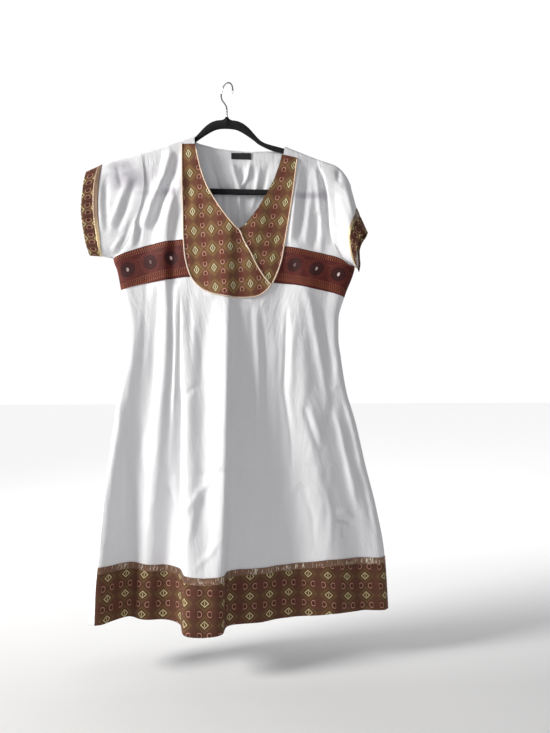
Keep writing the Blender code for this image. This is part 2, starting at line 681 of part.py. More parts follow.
def sleeve_points(side, stations):
    """Points of a sleeve on its rings: station 0 is the armhole, 1 the cuff seam and 2 the cuff end."""
    (armhole, seam, end), _, weights = sleeve_rings(side)
    fold = [(x, 0.0, -drop) for x, drop in SLEEVES[side]["fold"]]
    columns = []
    for station in stations:
        share = np.asarray(station, float)[..., None]
        sleeve_share = np.clip(share, 0, 1)
        cuff_share = np.clip(share - 1, 0, 1)
        point = armhole + (seam - armhole) * sleeve_share
        top = along(fold, np.clip(np.atleast_1d(station), 0, 1))
        lift = top - (fold[0] + (np.array(fold[-1]) - fold[0]) * sleeve_share)
        point = point + lift * (weights ** FOLD_FADE)[:, None] + (end - seam) * cuff_share
        columns.append(point)
    return np.stack(columns, 1)


def tube_normals(points):
    """Outward normals of a tube of rings."""
    around = np.roll(points, -1, axis=0) - np.roll(points, 1, axis=0)
    along_tube = np.gradient(points, axis=1)
    normals = unit(np.cross(around, along_tube))
    middle = points.mean(axis=0, keepdims=True)
    if np.einsum("ijk,ijk->", normals, points - middle) < 0:
        normals = -normals
    return normals


def add_sleeves():
    """Sleeves, their printed cuffs and the metallic ribbon beside each cuff."""
    for side in SLEEVES:
        (armhole, seam, end), edge_normals, _ = sleeve_rings(side)
        sleeve_length = np.maximum(np.linalg.norm(seam - armhole, axis=1), CUFF_TRIM + 4)
        cuff_length = np.linalg.norm(end - seam, axis=1)
        trim = 1 - CUFF_TRIM / sleeve_length
        around = unit(np.roll(armhole, -1, axis=0) - np.roll(armhole, 1, axis=0))
        slant = np.linalg.norm(np.cross(around, unit(seam - armhole)), axis=1)
        from_bottom = np.abs(np.arange(len(trim)) - (len(ARM_ROWS) - 1))
        start = np.maximum(ARMHOLE_GAP / slant, UNDERARM_GAP * (1 - from_bottom / UNDERARM_POINTS))
        start /= sleeve_length
        stations = [start + (trim - start) * k / SLEEVE_STATIONS for k in range(SLEEVE_STATIONS + 1)]
        stations += [1 - 0.5 * CUFF_GAP / sleeve_length, 1 + 0.5 * CUFF_GAP / cuff_length, np.full(len(trim), 1.5)]
        stations.append(np.full(len(trim), 2.0))
        points = sleeve_points(side, stations)
        normals = tube_normals(points)
        normals[:, 0] = edge_normals
        last = SLEEVE_STATIONS + 1
        shared = unit(normals[:, last] + normals[:, last + 1])
        normals[:, last] = shared
        normals[:, last + 1] = shared
        add_wall(f"sleeve_{side}", points[:, :last + 1], normals[:, :last + 1], CLOTH, "white_cotton",
                 round_across=True)
        add_wall(f"cuff_trim_{side}", points[:, last - 1:last + 1], normals[:, last - 1:last + 1], PRINT,
                 "gold_ribbon", layer(0), round_across=True)
        add_wall(f"cuff_{side}", points[:, last + 1:], normals[:, last + 1:], CLOTH, "printed_cotton",
                 round_across=True)


def add_label():
    """Blank woven label inside the back, below the neckline."""
    low = BACK_END - place_at_back(LABEL["right"] + 1, 140)
    high = BACK_END - place_at_back(LABEL["left"] - 1, 140)
    columns = np.linspace(low, high, 5)
    drop_rows = np.linspace(0.0, 0.2, 5)
    points, normals = body_grid(columns, drop_rows)
    lift = -(0.5 * CLOTH + SEAM_GAP + 0.5 * LABEL_WALL)
    label = add_wall("neck_label", points, normals, LABEL_WALL, "black_label", lift)
    keep_inside(label, [(LABEL["left"], LABEL["top"]), (LABEL["left"], LABEL["bottom"]),
                        (LABEL["right"], LABEL["bottom"]), (LABEL["right"], LABEL["top"])])


def add_hanger():
    """Flocked hanger: one closed loop of arms, arch and bar, with a collar for the hook."""
    right = list(HANGER_HALF)
    left = [(-outer_x, outer_drop, -inner_x, inner_drop) for outer_x, outer_drop, inner_x, inner_drop in right]
    stations = right + [HANGER_BAR_END] + left[::-1]
    rings = []
    for outer_x, outer_drop, inner_x, inner_drop in stations:
        outer = np.array((outer_x, -outer_drop))
        inner = np.array((inner_x, -inner_drop))
        rim = min(HANGER_EDGE, 0.4 * float(np.linalg.norm(outer - inner)))
        step = unit(inner - outer) * rim
        corners = (
            (outer, -HANGER_EDGE_DEPTH), (outer, HANGER_EDGE_DEPTH),
            (outer + step, HANGER_HALF_DEPTH), (inner - step, HANGER_HALF_DEPTH),
            (inner, HANGER_EDGE_DEPTH), (inner, -HANGER_EDGE_DEPTH),
            (inner - step, -HANGER_HALF_DEPTH), (outer + step, -HANGER_HALF_DEPTH),
        )
        rings.append([(flat[0], depth, flat[1]) for flat, depth in corners])
    points = np.array(rings)
    count, around = points.shape[:2]
    faces = []
    for i in range(count):
        for j in range(around):
            a = i * around + j
            b = ((i + 1) % count) * around + j
            c = ((i + 1) % count) * around + (j + 1) % around
            d = i * around + (j + 1) % around
            faces += [(a, b, c), (a, c, d)]
    hanger = add_object("hanger_body", points.reshape(-1, 3), faces, "black_velvet")
    hanger.data.set_sharp_from_angle(angle=math.radians(35))


def add_hook():
    """Wire hook: up from the collar, out to one side, over the origin and down to its tip."""
    radius = HOOK_RADIUS + 0.5 * WIRE
    route = [(0.0, -(COLLAR_TOP - SEAM_GAP)), (0.0, -58.0), (0.3, -50.0), (3.2, -42.0)]
    for k in range(HOOK_ARC_POINTS + 1):
        angle = math.radians(HOOK_START + (HOOK_TIP - HOOK_START) * k / HOOK_ARC_POINTS)
        route.append((radius * math.cos(angle), radius * math.sin(angle) - HOOK_RADIUS))
    turn = math.radians(HOOK_TURN)
    points = [(out * math.cos(turn), out * math.sin(turn), up) for out, up in route]
    path = curve_through(points, 6.0)
    curve = bpy.data.curves.new("hanger_hook", "CURVE")
    curve.dimensions = "3D"
    curve.bevel_depth = 0.5 * WIRE * MM
    curve.bevel_resolution = 2
    curve.use_fill_caps = True
    curve.materials.append(materials["chrome"])
    spline = curve.splines.new("POLY")
    spline.points.add(len(path) - 1)
    for point, place in zip(spline.points, path):
        point.co = (*(place * MM), 1.0)
    hook = bpy.data.objects.new("hanger_hook", curve)
    bpy.context.scene.collection.objects.link(hook)


for old in list(bpy.data.objects):
    bpy.data.objects.remove(old, do_unlink=True)

materials = {}
for material_name, (colour, roughness, metallic) in MATERIALS.items():
    material = bpy.data.materials.new(material_name)
    material.use_nodes = True
    shader = material.node_tree.nodes["Principled BSDF"]
    shader.inputs["Base Color"].default_value = (*colour, 1.0)
    shader.inputs["Roughness"].default_value = roughness
    shader.inputs["Metallic"].default_value = metallic
    materials[material_name] = material

add_panels()
add_bib()
add_bands()
add_hem()
add_sleeves()
add_label()
add_hanger()
add_hook()
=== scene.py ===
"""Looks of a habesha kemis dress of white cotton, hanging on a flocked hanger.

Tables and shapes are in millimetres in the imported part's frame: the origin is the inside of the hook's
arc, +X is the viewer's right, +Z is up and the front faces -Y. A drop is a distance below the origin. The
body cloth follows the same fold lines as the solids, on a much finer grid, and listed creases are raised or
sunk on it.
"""

import math

import bpy
import numpy as np
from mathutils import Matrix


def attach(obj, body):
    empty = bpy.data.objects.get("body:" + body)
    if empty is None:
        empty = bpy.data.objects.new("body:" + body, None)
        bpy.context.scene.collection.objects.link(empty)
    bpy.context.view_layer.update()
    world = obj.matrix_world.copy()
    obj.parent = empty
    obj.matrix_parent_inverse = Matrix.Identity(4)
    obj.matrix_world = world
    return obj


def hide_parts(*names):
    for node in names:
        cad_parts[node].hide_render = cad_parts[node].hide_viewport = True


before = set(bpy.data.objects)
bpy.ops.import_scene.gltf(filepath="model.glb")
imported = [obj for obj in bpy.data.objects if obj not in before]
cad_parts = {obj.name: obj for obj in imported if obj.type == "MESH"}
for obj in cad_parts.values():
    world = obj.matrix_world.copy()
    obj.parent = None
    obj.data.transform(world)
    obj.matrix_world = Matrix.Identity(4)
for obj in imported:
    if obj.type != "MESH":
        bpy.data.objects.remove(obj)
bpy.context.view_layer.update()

MM = 0.001

# Side seams, and the top edge that rolls over the shoulders
SEAM_GAP = 0.3
ROLL = 6.0
ROLL_SHARE = 0.06
EDGE_INSET = 0.2

# Side outline of the body: the armhole down to the underarm, then the side edge
LEFT_EDGE = (
    # drop, x
    (100, -170), (140, -167), (165, -163), (200, -160.5), (240, -166), (290, -183), (320, -195),
    (338, -209), (350, -222), (375, -214), (410, -207.5), (460, -198), (520, -195.5), (550, -197),
    (595, -207), (650, -216), (710, -223), (770, -230), (835, -238), (910, -247.5), (980, -258),
    (1055, -264),
)
RIGHT_EDGE = (
    (100, 182), (150, 186), (200, 199), (235, 204), (285, 208), (320, 218), (340, 229),
    (353, 243), (362, 257), (376, 254), (421, 236.5), (470, 224), (505, 224), (541, 228.5),
    (609, 239.5), (674, 258.5), (758, 278), (846, 300.5), (935, 317), (1055, 325),
)
# Half the opening between the front and back edges: an armhole above, a closed side seam below
LEFT_ARMHOLE = ((100, 7), (250, 10), (326, 7), (350, 0.5 * SEAM_GAP), (1100, 0.5 * SEAM_GAP))
RIGHT_ARMHOLE = ((100, 7), (250, 10), (338, 7), (362, 0.5 * SEAM_GAP), (1100, 0.5 * SEAM_GAP))
# The left side seam turns to the front towards the hem
LEFT_SEAM_DEPTH = ((350, 0), (433, -2), (550, -7), (720, -25), (785, -36), (1055, -66))
LEFT_SEAM_INSET = ((700, 0), (785, 2), (1055, 18))
RIGHT_SEAM_DEPTH = ((350, 0), (1055, -3))

# Fold lines. A place is a share of the way from the side edge to the box fold, or from the box fold to the
# side edge, or millimetres for the box fold's own lines. Depths are taken at the four levels.
PLACE_LEVELS = (110, 433, 1055)
DEPTH_LEVELS = (110, 433, 720, 1055)
LEFT_FOLDS = (
    # name, place at top, bust, hem, depth at top, bust, thigh, hem, drop of the hem
    ("left edge", 0.0, 0.0, 0.0, 0, 0, 0, 0, 1045),
    ("left round", 0.05, 0.06, 0.07, -8, -9, -31, -64, 1045),
    ("left valley", 0.42, 0.45, 0.36, -8, -9, -14, -20, 1046),
    ("left ridge", 0.72, 0.75, 0.54, -9, -20, -29, -34, 1048),
    ("left hollow", 0.88, 0.88, 0.82, -9, -14, -20, -28, 1051),
)
BOX_FOLDS = (
    ("box left root", -91, -91, -91, -9, -17, -27, -41, 1055),
    ("box left crest", -66, -79, -77, -9.5, -19, -43, -89, 1059),
    ("box middle", -38, -42, -44, -10, -23, -51, -95, 1062),
    ("box right crest", 4, 3, -12, -11, -28, -58, -90, 1059),
    ("box right root", 26, 14, 3, -12, -21, -32, -44, 1061),
)
RIGHT_FOLDS = (
    ("shade slope", 0.24, 0.22, 0.19, -12, -18, -25, -33, 1060),
    ("right valley", 0.44, 0.41, 0.36, -11, -13, -15, -17, 1058),
    ("right ridge", 0.59, 0.60, 0.62, -10, -18, -27, -37, 1046),
    ("right hollow", 0.76, 0.80, 0.84, -9, -11, -14, -18, 1047),
    ("right round", 0.955, 0.96, 0.97, -7, -9, -12, -15, 1049),
    ("right edge", 1.0, 1.0, 1.0, 0, 0, 0, 0, 1049),
)
BACK_FOLDS = (
    # places are shares of the way from the right edge to the left outline
    ("right edge behind", 0.0, 0.0, 0.0, 0, 0, 0, 0, 1049),
    ("back right round", 0.04, 0.03, 0.03, 7, 8, 11, 14, 1049),
    ("back fold 1", 0.17, 0.15, 0.15, 7, 12, 26, 42, 1052),
    ("back dip 1", 0.29, 0.28, 0.27, 7, 8, 13, 18, 1054),
    ("back fold 2", 0.42, 0.42, 0.41, 7, 13, 30, 50, 1056),
    ("back dip 2", 0.56, 0.56, 0.56, 7, 9, 16, 22, 1057),
    ("back fold 3", 0.70, 0.70, 0.71, 7, 12, 27, 44, 1056),
    ("back dip 3", 0.84, 0.84, 0.85, 7, 8, 10, 12, 1054),
    ("back left round", 0.95, 0.965, 0.97, 7, 7, 3, -4, 1053),
    ("back left turn", 0.985, 1.0, 1.0, 8, 3, -12, -38, 1052),
    ("left edge behind", 1.0, 1.0, 1.0, 0, 0, 0, 0, 1045),
)
FOLD_LINES = LEFT_FOLDS + BOX_FOLDS + RIGHT_FOLDS + BACK_FOLDS
LINES = len(FOLD_LINES)
NAMES = [row[0] for row in FOLD_LINES]
RIGHT_END = NAMES.index("right edge")
BACK_START = NAMES.index("right edge behind")
BACK_END = LINES - 1

# Top outline of the front and back: shoulders over the hanger and the neckline between the neck points
NECK_LEFT = -66
NECK_RIGHT = 116
NECK_SOFT = 1.6
NECK_CORNERS = ((-64.4, 107), (114.4, 126))
# Points of the neckline that a column of each panel passes
FRONT_NECK_POINTS = NECK_CORNERS + ((-66, 105), (-61, 135), (22.5, 291), (116, 123))
BACK_NECK_POINTS = NECK_CORNERS + ((-66, 105), (-61, 116), (116, 123))
FRONT_TOP = (
    # x, drop
    (-175, 143.3), (-120, 125.3), (-66, 104.5), (-64.4, 107), (-62.8, 122), (-58, 147), (-52, 172),
    (-40, 205.5), (-20.7, 239), (-1.5, 266), (15, 286), (22.5, 291), (31, 287), (44, 273), (63, 248),
    (79, 220), (93, 194), (106, 162), (112, 141), (114.4, 125.5), (116, 122.5), (150, 135), (200, 153),
)
BACK_TOP = (
    (-175, 143.3), (-120, 125.3), (-66, 104.5), (-64.4, 107), (-61, 115.5), (-54, 118), (-22, 126),
    (8, 129.4), (48, 131.3), (78, 130), (108, 128.5), (114.4, 125.5), (116, 122.5), (150, 135),
    (200, 153),
)
# Lines across the body that the rows follow
BAND_TOP = (
    (-222, 350), (-195, 338), (-149, 323.5), (-87, 313.6), (20, 316), (119, 324), (166, 332), (215, 342),
    (257, 362),
)
BAND_BOTTOM = (
    (-206, 412), (-168, 401.6), (-130, 395), (-75, 387), (20, 390), (98, 397), (134, 400), (166, 406),
    (207, 414), (236, 423),
)
BACK_BAND_TOP = ((-222, 350), (257, 362))
BACK_BAND_BOTTOM = ((-206, 412), (236, 423))
HEM_BAND = 105
HEM_RIBBON = 12

# Printed bib, seen from the front
BIB_OUTLINE = (
    # x, drop, from the left shoulder down and round to the right shoulder
    (-88.5, 123.5), (-87.5, 200), (-86, 255), (-84.5, 310), (-80.5, 351), (-69.8, 386), (-50.6, 408),
    (-28, 419), (0, 424.5), (26, 426.5), (51, 425), (70, 418), (90, 396), (106.2, 357), (114.5, 315),
    (123, 265), (131.4, 209.6), (139.5, 147),
)
V_BOTTOM = (22.5, 291)
WRAP_END = 404
WRAP_EDGE = ((22.5, 286), (31.7, 311), (45.4, 335.6), (59.2, 363), (74, 386), (90, 404))

# Sleeves: the fold along the top, from the shoulder to the cuff seam, and the cuff's seam and end
SLEEVES = {
    "left": {
        "fold": ((-168, 139.5), (-186, 145), (-204, 150.5), (-222, 156.5), (-238, 162.5), (-252, 170)),
        # x, drop, depth, from the top fold to the bottom
        "seam": ((-252, 170, 0), (-253, 175, -6), (-259, 212, -10), (-260, 258, -11), (-252, 320, -9),
                 (-248, 341, -5), (-247, 346, 0)),
        "seam_back": ((-252, 170, 0), (-253, 175, 6), (-260, 212, 9), (-262, 258, 10), (-254, 320, 9),
                      (-248.5, 341, 5), (-247, 346, 0)),
        "end": ((-273.5, 180.5, 0), (-275, 185, -6), (-279.5, 212, -10), (-281, 258, -11), (-274.5, 315, -9),
                (-269.5, 339, -5), (-268.5, 344, 0)),
        "end_back": ((-273.5, 180.5, 0), (-276.5, 185, 6), (-284, 212, 10), (-287.5, 258, 11),
                     (-279, 315, 9), (-271, 339, 5), (-268.5, 344, 0)),
    },
    "right": {
        "fold": ((187, 148.5), (206, 154), (224, 161), (240, 178), (254, 212), (268, 258)),
        "seam": ((268, 258, 0), (257, 270, -24), (245, 289, -38), (241, 306, -40), (245, 328, -30),
                 (253, 350, -14), (264, 366, 0)),
        "seam_back": ((268, 258, 0), (270, 270, 11), (266, 289, 18), (264, 306, 18), (265, 328, 14),
                      (266, 350, 8), (264, 366, 0)),
        "end": ((284, 292, 0), (276, 297, -24), (264, 306, -38), (257, 319, -38), (256, 338, -26),
                (259, 356, -10), (266, 371, 2)),
        "end_back": ((284, 292, 0), (283, 298, 11), (276, 310, 18), (271, 324, 18), (270, 340, 14),
                     (270, 356, 8), (266, 371, 2)),
    },
}
CUFF_TRIM = 9.0
CUFF_WIDTH = 21.0
SLEEVE_LENGTH = 80.0
SLEEVE_STEPS = 56
CUFF_STEPS = 14
FOLD_FADE = 1.5

# Neck label on the inside of the back
LABEL = {"left": 9, "right": 49, "top": 134.5, "bottom": 147}

# Hanger: half of its outline from the collar round the shoulder to the bar, outer and inner edge
HANGER_HALF = (
    # outer x, drop, inner x, drop
    (2.6, 65.5, 2.6, 89.4), (5, 69.5, 5, 89.4), (9, 71.5, 9, 89.7), (20, 73, 17, 90.8),
    (30, 76.5, 25, 93.6), (39, 82.5, 33, 97.8), (47, 89.8, 41, 102.8), (55, 98.8, 48, 107.6),
    (63, 107.3, 55.5, 113), (70, 113, 62, 118.2), (79, 116.8, 74, 124.5), (92, 120.3, 88, 130.2),
    (115, 126, 112, 136), (150, 136.4, 147, 146.3), (190, 150.8, 187, 160.7), (212, 158.8, 204, 167.4),
    (221, 165, 211.5, 173.5), (226, 176, 214.5, 183), (227, 189, 215, 190), (225.5, 204, 213.5, 198),
    (220, 214, 210.5, 204.5), (208, 220.3, 203, 208.5), (150, 220.3, 150, 208.5), (75, 220.3, 75, 208.5),
)
HANGER_BAR_END = (0, 220.3, 0, 208.5)
HANGER_HALF_DEPTH = 2.5
HANGER_EDGE = 1.6

# Hook: a wire turned about the vertical, with its arc's inside top at the origin
WIRE = 3.2
HOOK_RADIUS = 17.0
HOOK_TURN = 128.0
HOOK_START = -42.0
HOOK_TIP = 205.0
HOOK_ARC_POINTS = 16
COLLAR_TOP = 65.5

# Layers of cloth lie closer on each other here than in the solids
PRINT_LIFT = 0.7
WRAP_LIFT = 0.5
LAID_DEPTH = -0.25
SIDE_FADE = 0.5
BAND_LIFT = 0.8
BAND_ROWS = 34
BAND_COLUMNS = 96
RIM = 0.7
HEM_FOLD_ROWS = 3
PIPING_RADIUS = 1.35
PIPING_SIDES = 10
UV_UNIT = 100.0

# Printed cloth: length of the repeat along its stripes and across them
BIB_REPEAT = (38.5, 34.5)
BIB_UNDER_REPEAT = (37.0, 35.7)
HEM_REPEAT = (40.0, 38.0)
CUFF_REPEAT = (30.0, 26.0)
# Half sizes of the motifs, along the stripes and across them: diamond, then eye
BIB_MOTIF = (8.6, 5.5, 5.5, 3.9)
HEM_MOTIF = (8.2, 7.4, 5.1, 5.7)
# A diamond's place on each bib piece (x, drop), and how far the stripes lean
BIB_OVER_PRINT = {"diamond": (-64.4, 296.5), "lean": -0.07, "rise": 0.12}
BIB_UNDER_PRINT = {"diamond": (115.4, 236.4), "lean": 0.23, "rise": 0.0}
# Drop of a row of diamonds along the hem, against x, and the x of one diamond
HEM_ROW = ((-250, 1000), (-41, 1000.8), (30, 1008), (166, 1007), (250, 1015.5), (320, 1020))
HEM_DIAMOND_X = -40.7

# Round motifs of the woven band: x of their middles, and how pale each middle is
MOTIF_REPEAT = 46.0
MOTIF_ROW = 34.0
LEFT_MOTIFS = ((-193.6, 0.55), (-148.0, 0.16), (-108.4, 1.0))
RIGHT_MOTIFS = ((133.4, 0.2), (176.7, 0.55), (222.5, 1.0))

# Creases of the front: name, height (a trough is negative), half its width, then points (x, drop)
FRONT_CREASES = (
    ("left ridge", 2.2, 11, ((-140, 594), (-152, 694), (-167, 796), (-174, 947))),
    ("streak valley", -6.0, 9, ((-134, 395), (-138, 480), (-142, 560), (-146, 640), (-152, 700))),
    ("streak ridge", 6.5, 11, ((-97, 400), (-98, 500), (-100, 600), (-108, 700), (-116, 800))),
    ("streak edge", -3.0, 3, ((-91, 405), (-91, 520), (-92, 700), (-92, 860), (-92, 950))),
    ("streak foot", -2.0, 6, ((-126, 775), (-103, 825), (-94, 863))),
    ("box trough", -12.0, 22, ((-38, 425), (-44, 560), (-46, 700), (-44, 850), (-42, 965))),
    ("box ridge", 4.0, 9, ((2, 425), (0, 560), (-2, 700), (-3, 850), (-4, 960))),
    ("box root", -4.0, 5, ((-93, 430), (-93, 700), (-92, 950))),
    ("box slant 1", 3.0, 7, ((-84, 844), (-39, 784), (-10, 743))),
    ("box slant 2", 1.8, 6, ((-61, 941), (-34, 915), (-10, 886))),
    ("box slant 3", -1.6, 5, ((-84, 622), (-66, 604), (-47, 594))),
    ("box slant 4", 1.6, 6, ((-74, 900), (-58, 820), (-52, 770))),
    ("box slant 5", -1.5, 5, ((-60, 480), (-52, 530), (-50, 590))),
    ("shade fold 1", -2.6, 6, ((46, 432), (50, 560), (49, 700), (44, 800))),
    ("shade fold 2", 2.0, 6, ((59, 440), (62, 580), (60, 720))),
    ("shade fold 3", -2.4, 6, ((70, 450), (74, 600), (78, 760))),
    ("shade fold 4", 1.8, 8, ((90, 440), (95, 600), (97, 780))),
    ("shade fold 5", -1.4, 7, ((25, 600), (24, 760), (20, 900))),
    ("right bend", -3.4, 4, ((119, 440), (116, 511), (112, 604), (125, 696), (129, 760))),
    ("right bend side", 2.4, 7, ((131, 470), (126, 560), (124, 620), (137, 700))),
    ("right streak", 4.4, 9, ((150, 400), (165, 440), (184, 540), (203, 660))),
    ("right streak under", -3.0, 8, ((182, 430), (200, 520), (214, 600))),
    ("right notch", -2.4, 6, ((151, 640), (165, 680), (180, 726))),
    ("right notch side", 1.4, 8, ((163, 640), (177, 680), (190, 720))),
    ("long dark fold", -5.0, 9, ((222, 600), (243, 690), (256, 745), (283, 840), (292, 900))),
    ("long dark ridge", 3.6, 7, ((212, 640), (228, 700), (240, 760), (262, 850))),
    ("edge ripple 1", 2.2, 4, ((240, 606), (255, 622))),
    ("edge ripple 2", 2.4, 4, ((246, 632), (263, 650))),
    ("edge ripple 3", 2.4, 4, ((252, 658), (270, 676))),
    ("edge ripple 4", 2.2, 4, ((259, 686), (277, 704))),
    ("edge ripple 5", 1.8, 4, ((266, 716), (284, 734))),
    ("knee dent", -3.2, 5, ((213, 862), (230, 866), (248, 876))),
    ("knee dent side", 2.2, 6, ((215, 850), (234, 852), (252, 862))),
    ("knee dent foot", -2.4, 4, ((231, 872), (229, 900))),
    ("cross crease", -1.0, 6, ((-190, 770), (-90, 772), (10, 760), (110, 766), (200, 752))),
    ("right slant 1", 2.0, 8, ((110, 835), (124, 810), (142, 788))),
    ("right slant 2", -1.8, 6, ((150, 800), (168, 860), (172, 930))),
    ("right slant 3", 1.8, 7, ((192, 790), (204, 850), (202, 930))),
    ("right slant 4", -1.6, 6, ((120, 870), (126, 920), (122, 960))),
    ("left slant 1", -2.0, 6, ((-227, 914), (-214, 890), (-204, 872))),
    ("left slant 2", 1.6, 6, ((-224, 940), (-206, 910), (-192, 880))),
    ("left slant 3", -1.6, 6, ((-198, 700), (-191, 780), (-196, 860))),
    ("left slant 4", 1.4, 7, ((-180, 470), (-184, 560), (-196, 650))),
    ("left slant 5", -1.6, 6, ((-160, 450), (-163, 520), (-170, 600))),
    ("chest fold", -6.0, 10, ((-99, 138), (-106, 181), (-131, 242), (-146, 300))),
    ("chest fold side", 6.5, 9, ((-108, 135), (-123, 190), (-146, 240), (-163, 290))),
    ("chest fold right", 3.4, 9, ((-92, 170), (-96, 210), (-114, 260), (-126, 310))),
    ("bib side fold", -1.8, 6, ((-92, 250), (-104, 285), (-112, 320))),
    ("left armpit 1", -3.2, 5, ((-201, 279), (-194, 299), (-203, 325))),
    ("left armpit 2", 2.6, 6, ((-189, 270), (-181, 296), (-188, 330))),
    ("left armpit 3", -2.2, 5, ((-176, 262), (-169, 295), (-176, 330))),
    ("left armhole line", -1.6, 3, ((-167, 146), (-161, 200), (-166, 245), (-183, 290))),
    ("right pleat 1", 3.0, 6, ((146, 156), (137, 210), (126, 318))),
    ("right pleat 2", -4.4, 8, ((163, 162), (150, 220), (141, 315))),
    ("right pleat 3", 2.6, 7, ((170, 205), (163, 262), (156, 322))),
    ("right pleat 4", -2.4, 6, ((181, 255), (176, 300), (170, 330))),
    ("right pleat 5", 2.2, 6, ((188, 262), (189, 300), (186, 334))),
    ("armhole dark line", -5.5, 7, ((181, 163), (191, 192), (197, 230), (202, 286), (214, 320))),
    ("right pleat 6", 2.8, 6, ((176, 160), (180, 190), (184, 235), (190, 280))),
    ("under bib left", -1.6, 6, ((-74, 425), (-71, 500), (-70, 560))),
    ("under bib right", 1.6, 7, ((-22, 432), (-24, 500), (-22, 560))),
)
# Creases of the back: a trough there stands out on the inside, where the V neck shows it
BACK_CREASES = (
    ("neck fold 1", 4.0, 5, ((-44, 124), (-34, 150), (-14, 210), (-8, 260))),
    ("neck fold 2", -4.5, 5, ((9, 146), (16, 176), (25, 208), (26, 262), (28, 330))),
    ("neck fold 3", -4.0, 4, ((47, 150), (42, 180), (26, 206))),
    ("neck fold 4", 3.0, 5, ((30, 160), (32, 196))),
    ("neck fold 5", 3.0, 6, ((2, 190), (6, 240), (8, 300))),
    ("neck fold 6", -2.6, 5, ((66, 160), (58, 210), (50, 250))),
    ("neck fold 7", 2.2, 5, ((84, 150), (74, 200), (66, 240))),
    ("shoulder blade 1", 3.0, 10, ((-120, 150), (-116, 230), (-124, 320))),
    ("shoulder blade 2", -3.0, 9, ((-92, 150), (-88, 250), (-94, 340))),
    ("shoulder blade 3", 3.0, 10, ((150, 160), (158, 240), (150, 330))),
    ("shoulder blade 4", -2.6, 9, ((122, 170), (128, 250), (122, 340))),
    ("waist 1", -2.6, 9, ((-150, 400), (-140, 520), (-156, 640))),
    ("waist 2", 2.6, 10, ((-60, 380), (-52, 520), (-60, 660))),
    ("waist 3", -2.6, 9, ((40, 400), (52, 540), (48, 680))),
    ("waist 4", 2.6, 10, ((130, 390), (138, 520), (150, 640))),
    ("seat slant 1", 2.4, 7, ((-190, 640), (-150, 690), (-120, 760))),
    ("seat slant 2", -2.2, 6, ((-80, 720), (-40, 780), (-22, 850))),
    ("seat slant 3", 2.2, 7, ((80, 700), (120, 760), (134, 840))),
    ("seat slant 4", -2.4, 7, ((190, 640), (216, 720), (232, 820))),
    ("hem slant 1", 2.0, 7, ((-180, 860), (-166, 930), (-170, 1000))),
    ("hem slant 2", -2.0, 7, ((10, 880), (18, 950), (10, 1020))),
    ("hem slant 3", 2.0, 7, ((150, 880), (170, 940), (168, 1010))),
    ("hem slant 4", -1.8, 6, ((250, 860), (262, 930), (276, 1000))),
)
# Creases of the sleeves, front half; the back half has the same ones, weaker and moved down
SLEEVE_CREASES = (
    ("left 1", -2.6, 6, ((-180, 200), (-196, 250), (-214, 300))),
    ("left 2", 2.4, 7, ((-190, 190), (-208, 240), (-228, 290))),
    ("left 3", -2.4, 6, ((-176, 262), (-192, 300), (-214, 334))),
    ("left 4", 2.2, 6, ((-196, 300), (-212, 322), (-226, 338))),
    ("left 5", -1.8, 6, ((-234, 190), (-236, 240), (-232, 300))),
    ("left 6", 1.6, 7, ((-246, 200), (-247, 250), (-242, 300))),
    ("left 7", -1.4, 5, ((-214, 166), (-210, 190), (-204, 215))),
    ("right 1", -2.6, 5, ((221, 166), (222, 180), (222, 196))),
    ("right 2", -3.0, 6, ((246, 200), (254, 230), (266, 262))),
    ("right 3", 2.4, 7, ((236, 206), (243, 240), (250, 270))),
    ("right 4", -2.0, 7, ((212, 215), (220, 265), (236, 318))),
    ("right 5", 2.0, 7, ((224, 228), (231, 272), (244, 318))),
)
BACK_SLEEVE_SHARE = 0.6
# Seeds of the small waves
FRONT_SEED = 4
BACK_SEED = 9
SLEEVE_SEED = 15

# Painted shade: soft grey spots painted into the cloth's colour where the dark hanger shows through the thin
# cloth: x, drop, half sizes, strength
HANGER_SHADE_SPOTS = (
    (-206, 172, 24, 13, 0.62), (-192, 194, 38, 22, 0.72), (-218, 200, 13, 20, 0.5),
    (-152, 182, 24, 18, 0.3), (-112, 219, 17, 8, 0.65), (-150, 222, 32, 6, 0.35), (165, 221, 34, 7, 0.7),
    (194, 218, 9, 11, 0.6), (222, 176, 4, 12, 0.35), (150, 150, 26, 7, 0.2),
)

# Colour of the white cloth, and the grey painted into it as shade where the hanger shows through
CLOTH_WHITE = (0.83, 0.83, 0.845)
CLOTH_SHADE = (0.40, 0.38, 0.43)
FLOOR_DROP = 1150.0
CAMERA_PLACE = (0.0053, -1.2968, -0.562)
CAMERA_TURN = -4.0
CAMERA_LENS = 31.92
CAMERA_SENSOR = 36.0

# Strength of the sky: all round, more overhead, more low down behind the part, and where it is seen directly
SKY_ROUND = 0.11
SKY_TOP = 0.42
SKY_BEHIND = 0.6
SKY_SEEN = 1.05
# The floor shines a little, so that it stays pale behind the part
FLOOR_GLOW = 0.62
FLOOR_REACH = 9.0
LIGHT_SPREAD = 100.0
LIGHTS = (
    # name, place, aim, size, energy, colour
    ("key", (-2.4, -0.74, 0.42), (0.0, 0.0, -0.30), 0.8, 32.0, (1.0, 0.985, 0.96)),
    ("fill", (0.6, -2.9, 0.1), (0.05, 0.0, -0.5), 1.6, 3.0, (0.98, 0.98, 1.0)),
)


